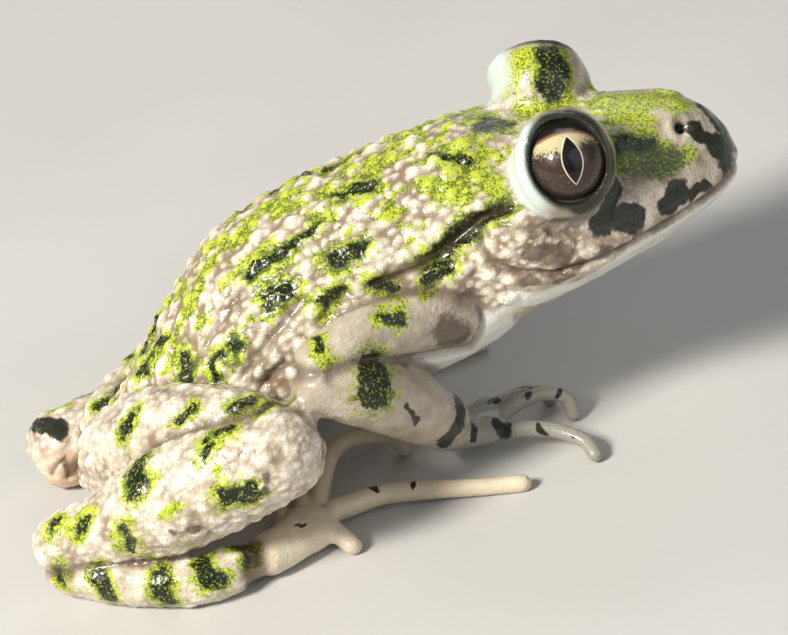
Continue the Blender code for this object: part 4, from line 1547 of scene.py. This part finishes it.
# The pupil's lean and the tilt of the iris pattern, in the eye's own plane
PUPIL_LEAN = math.radians(6)
IRIS_TILT = math.radians(14)

# Flecks of the iris: scale to the ball's radius, detail and roughness, and how they fray the gold's edge
FLECKS = (16.0, 4.0, 0.75)
GOLD_EDGE = {"Fray": 1.1, "Edge": 0.2, "Softness": 0.12}

# The edge of the upper dark band (the lid's dark margin with its painted shadow on the ball): its height at
# the middle of the eye, and how far it falls to the sides
BAND_HEIGHT = 0.70
BAND_FALL = 0.4

# Soft steps in the eye's colours, in shares of the ball's radius: the values between which each comes in,
# then its share at either end where that isn't 0 and 1
EYE_STEPS = {
    "rim_outside": (-0.05, -0.03),
    "rim_inside": (-0.02, -0.005, 1.0, 0.0),
    "gold_ahead": (-0.1, 0.4, 0.0, 0.26),
    "brown_fleck": (0.48, 0.66, 0.0, 0.8),
    "gold": (0.3, 0.6, 1.0, 0.72),
    "gold_fleck": (0.62, 0.72, 0.0, 0.35),
    "band_edge": (-0.09, -0.03, 0.0, 0.85),
    "band": (-0.015, 0.03),
    "eye_ring_and_lid_shadow": (0.85, 0.90),
    "pupil": (-0.012, 0.006),
    "roughness": (0.3, 0.7, 0.5, 0.36),
}

# How strongly the pupil's rim covers, the grain of the iris with the strength and depth of its bump in
# metres, and the wet cornea over it
RIM_STRENGTH = 0.9
IRIS_GRAIN = 0.08
IRIS_BUMP = (0.25, 0.00002)
WET_EYE = {"IOR": 1.33, "Coat Weight": 1.0, "Coat Roughness": 0.02, "Coat IOR": 1.36}


def eye_material(settings, groups):
    """Brown iris, gold above and behind, with an upright slit of a pupil and a wet cornea."""
    made, nodes = new_material("frog_eye")
    place = nodes.add("ShaderNodeAttribute", attribute_name="iris_place").outputs["Vector"]
    parts = nodes.add("ShaderNodeSeparateXYZ", {0: place}).outputs

    def times(value, factor):
        return nodes.math("MULTIPLY", value, factor)

    def square(value):
        return nodes.math("POWER", value, 2.0)

    def step(value, name):
        return nodes.step(value, *EYE_STEPS[name])

    def turned(angle):
        c, s = math.cos(angle), math.sin(angle)
        across = nodes.math("SUBTRACT", times(parts[0], c), times(parts[1], s))
        return across, nodes.math("ADD", times(parts[0], s), times(parts[1], c))

    across, upward = turned(PUPIL_LEAN)
    share = square(nodes.math("DIVIDE", upward, settings.pupil_height))
    half = times(nodes.math("SUBTRACT", 1.0, share), settings.pupil_width)
    inside = nodes.math("SUBTRACT", half, nodes.math("ABSOLUTE", across))
    rim = times(step(inside, "rim_outside"), step(inside, "rim_inside"))

    # Gold above the middle behind the pupil and only near the top ahead of it, under a dark band of lid
    # margin and painted lid shadow
    forward, high = turned(IRIS_TILT)
    flecks = nodes.noise(place, *FLECKS)
    gold_field = nodes.math("SUBTRACT", high, step(forward, "gold_ahead"))
    gold = nodes.group(groups["ragged"], {"Field": gold_field, "Noise": flecks} | GOLD_EDGE)
    band_edge = nodes.math("SUBTRACT", BAND_HEIGHT, times(square(forward), BAND_FALL))
    into_lid_shadow = nodes.math("SUBTRACT", high, band_edge)
    far = nodes.math("SQRT", nodes.math("ADD", square(parts[0]), square(parts[1])))
    colour = nodes.mix(step(flecks, "brown_fleck"), settings.iris_dark, settings.iris_brown)
    colour = nodes.mix(times(gold, step(flecks, "gold")), colour, settings.iris_gold)
    colour = nodes.mix(step(flecks, "gold_fleck"), colour, settings.iris_gold)
    colour = nodes.mix(step(into_lid_shadow, "band_edge"), colour, settings.band_edge)
    # The dark upper band: the lid's dark margin and the painted shadow of the lid on the ball
    colour = nodes.mix(step(into_lid_shadow, "band"), colour, settings.eye_ring_and_lid_shadow)
    colour = nodes.mix(times(rim, RIM_STRENGTH), colour, settings.pupil_rim)
    colour = nodes.mix(step(far, "eye_ring_and_lid_shadow"), colour, settings.eye_ring_and_lid_shadow)
    colour = nodes.mix(step(inside, "pupil"), colour, settings.pupil)

    grain = nodes.group(groups["grain"], {"Place": place, "Size": IRIS_GRAIN})
    values = {
        "Base Color": colour,
        "Roughness": step(flecks, "roughness"),
        "Normal": nodes.bump(grain, *IRIS_BUMP),
    }
    nodes.surface(values | WET_EYE)
    return made


# The eyeball's faces round and along the look axis, and how much and from where its cornea swells
EYE_FACES = (96, 64)
CORNEA_SWELL = 0.035
CORNEA_FROM = 0.55


def build_eye(name, sign):
    """One eyeball whose cornea swells a little, with the place on the iris as an attribute."""
    obj = ball(name, (0, 0, 0), (1.0, 1.0, 1.0), *EYE_FACES)
    points = read_points(obj.data)
    place = obj.data.attributes.new("iris_place", "FLOAT_VECTOR", "POINT")
    on_iris = points * (-sign, 1.0, 1.0)
    place.data.foreach_set("vector", np.ascontiguousarray(on_iris.ravel(), np.float32))
    swell = 1 + CORNEA_SWELL * smooth_step(points[:, 2], CORNEA_FROM, 1.0)
    write_points(obj.data, points * EYE_RADIUS * swell[:, None])
    obj.data.transform(TO_FRAME @ eye_matrix(sign))
    obj.data.shade_smooth()
    return obj


# The studio's round floor in metres: its radius, how far it is flat, how high its edge rises, its first two
# rings, its faces round, and its rings on the flat and on the rise
FLOOR_RADIUS = 1.6
FLOOR_FLAT = 0.75
FLOOR_RISE = 0.7
FLOOR_START = (0.0005, 0.02)
FLOOR_SIDES = 96
FLOOR_FLAT_RINGS = 8
FLOOR_RISE_RINGS = 24

# The floor's fine grain and its slow change of tone
FLOOR_GRAIN = 0.5
FLOOR_BUMP = (0.15, 0.00003)
FLOOR_TONE = (0.06, 1.0, 0.55)
FLOOR_TONE_STEP = (0.3, 0.7)
FLOOR_SHADE = 0.96
FLOOR_ROUGHNESS = 0.7


def build_floor():
    """A round pale floor that curves up far away, so that it closes the view from every side."""
    middle, first = FLOOR_START
    flat = np.linspace(first, FLOOR_FLAT, FLOOR_FLAT_RINGS)
    rising = np.linspace(FLOOR_FLAT, FLOOR_RADIUS, FLOOR_RISE_RINGS)
    reach = np.concatenate([[middle], flat, rising[1:]])
    climb = np.clip((reach - FLOOR_FLAT) / (FLOOR_RADIUS - FLOOR_FLAT), 0, 1) ** 2 * FLOOR_RISE
    angle = full_turn(FLOOR_SIDES)
    points = [(r * math.cos(a), r * math.sin(a), z) for r, z in zip(reach, climb) for a in angle]
    faces = [tuple(range(FLOOR_SIDES)), *ring_faces(len(reach), FLOOR_SIDES)]
    floor = mesh_object("studio_floor", points, faces)
    floor.data.shade_smooth()
    return floor


def floor_material(colour, groups):
    """The floor's pale matt finish."""
    made, nodes = new_material("studio_floor")
    place = millimetres(nodes)
    grain = nodes.group(groups["grain"], {"Place": place, "Size": FLOOR_GRAIN})
    tone = nodes.step(nodes.noise(place, *FLOOR_TONE), *FLOOR_TONE_STEP)
    values = {
        "Base Color": nodes.mix(tone, colour, tuple(c * FLOOR_SHADE for c in colour)),
        "Roughness": FLOOR_ROUGHNESS,
        "Normal": nodes.bump(grain, *FLOOR_BUMP),
    }
    nodes.surface(values)
    return made


# The lamps: name, place and size in metres, share of the main or the soft light's power, and colour. All
# face a point within the frog.
KEY_LAMP = ("key_light", (-0.27, -0.17, 0.29), 0.10, 1.0, (1.0, 0.96, 0.88))
FILL_LAMPS = [
    ("fill_light", (0.28, -0.30, 0.22), 0.40, 1.0, (0.92, 0.96, 1.0)),
    ("back_light", (0.10, 0.35, 0.30), 0.25, 0.6, (1.0, 1.0, 1.0)),
]
LAMP_AIM = (0, 0, 0.008)
ROOM_COLOUR = (0.93, 0.95, 1.0, 1.0)


def lamp(power, name, place, size, share, colour):
    """A square area light that faces the frog, with that share of the power."""
    data = bpy.data.lights.new(name, "AREA")
    data.size, data.energy, data.color = size, power * share, colour
    obj = add_object(name, data)
    turn = (Vector(LAMP_AIM) - Vector(place)).to_track_quat("-Z", "Y")
    obj.matrix_world = Matrix.Translation(place) @ turn.to_matrix().to_4x4()


# The photo's view: the point looked at in millimetres, how far off the camera stands, its elevation and
# roll, and how many picture points a millimetre covers at the point looked at
VIEW_TARGET = (19.3, 0.0, 7.5)
VIEW_DISTANCE = 250.0
VIEW_ELEVATION = math.radians(32)
VIEW_ROLL = math.radians(14)
VIEW_SCALE = 18.3
PICTURE_WIDTH = 788

# The camera's film width in millimetres, and the nearest and furthest that it shows, in metres
FILM_WIDTH = 36.0
CAMERA_CLIP = (0.01, 10.0)


def place_camera():
    """Sets the scene's camera at the photo's view."""
    back = Vector((0.0, -math.cos(VIEW_ELEVATION), math.sin(VIEW_ELEVATION)))
    level = Vector((1.0, 0.0, 0.0))
    upright_way = back.cross(level)
    right = math.cos(VIEW_ROLL) * level - math.sin(VIEW_ROLL) * upright_way
    up = math.sin(VIEW_ROLL) * level + math.cos(VIEW_ROLL) * upright_way
    data = bpy.data.cameras.new("photo_view")
    data.sensor_width = FILM_WIDTH
    data.lens = data.sensor_width * VIEW_DISTANCE / (PICTURE_WIDTH / VIEW_SCALE)
    data.clip_start, data.clip_end = CAMERA_CLIP
    obj = add_object("photo_view", data)
    place = TO_FRAME @ (Vector(VIEW_TARGET) + back * VIEW_DISTANCE)
    obj.matrix_world = Matrix.Translation(place) @ Matrix((right, up, back)).transposed().to_4x4()
    bpy.context.scene.camera = obj


def colour_of(label, meaning, value):
    """A colour that a user can change."""
    limits = {"size": 3, "min": 0.0, "max": 1.0}
    return FloatVectorProperty(name=label, description=meaning, default=value, subtype="COLOR", **limits)


class FrogSkinSettings(bpy.types.PropertyGroup):
    """Sizes and colours of the skin"""

    grain: FloatProperty(
        name="Skin Mesh", description="Size of the skin's faces in millimetres", default=0.14, min=0.1
    )
    wart_height: FloatProperty(
        name="Wart Height", description="Scale of every wart's height", default=1.0, min=0.0
    )
    grain_depth: FloatProperty(
        name="Grain Depth", description="Depth of the fine grain in millimetres", default=0.05
    )
    wetness: FloatProperty(
        name="Wetness", description="Weight of the wet coat", default=0.55, subtype="FACTOR", min=0, max=1
    )
    ground: colour_of("Ground", "Pale colour of the warts' sides", (0.63, 0.55, 0.43))
    # Painted shade of the ground in the valleys between the warts, also the colour of the dark specks
    ground_shade: colour_of("Ground Shade", "Brown between the warts", (0.27, 0.20, 0.14))
    # Pale tops of the warts with a painted highlight
    wart_tip_and_highlight: colour_of("Wart Tips", "Tops of the warts", (0.91, 0.85, 0.73))
    lime: colour_of("Lime", "Bright patches", (0.50, 0.57, 0.045))
    green: colour_of("Green", "Olive between the bright specks", (0.10, 0.145, 0.015))
    leaf: colour_of("Leaf Green", "Stripe from the eye to the nostril", (0.045, 0.10, 0.012))
    # Also the painted shade of the lids' rim and inside the nostril
    dark: colour_of("Dark", "Hearts of the marks", (0.007, 0.011, 0.004))
    # Also the painted shade on the chest under the throat
    brown: colour_of("Brown", "Brown marks of head and chest", (0.09, 0.055, 0.035))
    belly: colour_of("Belly", "Throat and belly", (0.80, 0.79, 0.73))
    arm: colour_of("Arms", "Grey-brown skin of the arms", (0.42, 0.36, 0.28))
    digit: colour_of("Digits", "Toes and soles", (0.74, 0.64, 0.47))
    hand: colour_of("Hands", "Hands and fingers", (0.25, 0.245, 0.22))
    lid_pale: colour_of("Pale Lid", "Skin behind the eye", (0.57, 0.66, 0.62))
    lid_grey: colour_of("Grey Lid", "Skin below and above the eye", (0.17, 0.145, 0.115))
    warm: colour_of("Inner Leg", "Warm thin skin of the inner leg", (0.72, 0.36, 0.18))
    # Painted shade of the creases, the folds' hollows and the mouth line
    crease_shade: colour_of("Creases", "Depth of the folds", (0.06, 0.034, 0.02))


class FrogEyeSettings(bpy.types.PropertyGroup):
    """Sizes and colours of the eyes"""

    pupil_width: FloatProperty(
        name="Pupil Width", description="Half width as a share of the eye's radius", default=0.215
    )
    pupil_height: FloatProperty(
        name="Pupil Height", description="Half height as a share of the eye's radius", default=0.55
    )
    iris_gold: colour_of("Iris Gold", "Pale upper part of the iris", (0.72, 0.63, 0.36))
    iris_brown: colour_of("Iris Brown", "Flecks in the lower iris", (0.10, 0.05, 0.025))
    iris_dark: colour_of("Iris Dark", "Lower part of the iris", (0.032, 0.019, 0.014))
    pupil_rim: colour_of("Pupil Rim", "Thin pale line round the pupil", (0.78, 0.72, 0.50))
    pupil: colour_of("Pupil", "The slit itself", (0.001, 0.001, 0.001))
    band_edge: colour_of("Band Edge", "Reddish line under the dark upper band", (0.20, 0.045, 0.015))
    # Also the upper band, the lid's dark margin with its painted shadow
    eye_ring_and_lid_shadow: colour_of("Eye Ring", "Dark outer ring and upper band of the eye", (0.014, 0.012, 0.011))


class FrogStageSettings(bpy.types.PropertyGroup):
    """Floor and lights of the studio"""

    floor: colour_of("Floor", "Colour of the floor", (0.56, 0.55, 0.53))
    key_power: FloatProperty(
        name="Key Light", description="Power of the main light", default=2.8, unit="POWER"
    )
    fill_power: FloatProperty(
        name="Fill Light", description="Power of the soft light", default=0.45, unit="POWER"
    )
    sky: FloatProperty(
        name="Room Light", description="Strength of the light from all round", default=0.25
    )


def shared_groups():
    """The node groups that several materials use, made once."""
    known = bpy.data.node_groups
    return {
        "ragged": known.get("Ragged Edge") or ragged_edge(),
        "grain": known.get("Fine Grain") or fine_grain(),
    }


class FROG_OT_skin(bpy.types.Operator):
    """Build the skin over the trunk, head, limbs and digits"""

    bl_idname = "frog.skin"
    bl_label = "Skin"

    def execute(self, context):
        settings = context.scene.frog_skin
        skin = build_skin(settings)
        skin.data.materials.append(skin_material(settings, shared_groups()))
        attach(skin, "root")
        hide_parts(*[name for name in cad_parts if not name.startswith("eye_")])
        return {"FINISHED"}


class FROG_OT_eyes(bpy.types.Operator):
    """Build the two eyeballs"""

    bl_idname = "frog.eyes"
    bl_label = "Eyes"

    def execute(self, context):
        look = eye_material(context.scene.frog_eyes, shared_groups())
        for side, sign in SIDES.items():
            eye = build_eye(f"eyeball_{side}", sign)
            eye.data.materials.append(look)
            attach(eye, "root")
            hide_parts(f"eye_{side}")
        return {"FINISHED"}


class FROG_OT_stage(bpy.types.Operator):
    """Set the floor, the lights and the camera"""

    bl_idname = "frog.stage"
    bl_label = "Studio"

    def execute(self, context):
        settings = context.scene.frog_stage
        floor = build_floor()
        floor.data.materials.append(floor_material(tuple(settings.floor), shared_groups()))
        floor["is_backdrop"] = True
        lamp(settings.key_power, *KEY_LAMP)
        for row in FILL_LAMPS:
            lamp(settings.fill_power, *row)
        world = bpy.data.worlds.new("studio_room")
        world.use_nodes = True
        sky = world.node_tree.nodes["Background"].inputs
        sky["Color"].default_value = ROOM_COLOUR
        sky["Strength"].default_value = settings.sky
        context.scene.world = world
        context.scene.view_settings.view_transform = "Standard"
        place_camera()
        return {"FINISHED"}


# The scene's settings by name: the class that holds them and the operator that uses them
PIECES = {
    "frog_skin": (FrogSkinSettings, FROG_OT_skin),
    "frog_eyes": (FrogEyeSettings, FROG_OT_eyes),
    "frog_stage": (FrogStageSettings, FROG_OT_stage),
}


class FROG_PT_panel(bpy.types.Panel):
    """The frog's pieces and their settings"""

    bl_idname = "FROG_PT_panel"
    bl_label = "Parsley Frog"
    bl_space_type = "VIEW_3D"
    bl_region_type = "UI"
    bl_category = "Frog"

    def draw(self, context):
        for name, (_, operator) in PIECES.items():
            box = self.layout.box()
            box.operator(operator.bl_idname)
            settings = getattr(context.scene, name)
            for key in settings.__annotations__:
                box.prop(settings, key)


CLASSES = [*(kind for pair in PIECES.values() for kind in pair), FROG_PT_panel]


def register():
    for kind in CLASSES:
        bpy.utils.register_class(kind)
    for name, (settings, _) in PIECES.items():
        setattr(bpy.types.Scene, name, PointerProperty(type=settings))


def unregister():
    for name in PIECES:
        delattr(bpy.types.Scene, name)
    for kind in reversed(CLASSES):
        bpy.utils.unregister_class(kind)


def main():
    register()
    bpy.ops.frog.skin()
    bpy.ops.frog.eyes()
    bpy.ops.frog.stage()
    boxes = {"cad": CAD_BOX, "visual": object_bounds()}
    {name: [list(low), list(high)] for name, (low, high) in boxes.items()}


if __name__ == "__main__":
    main()
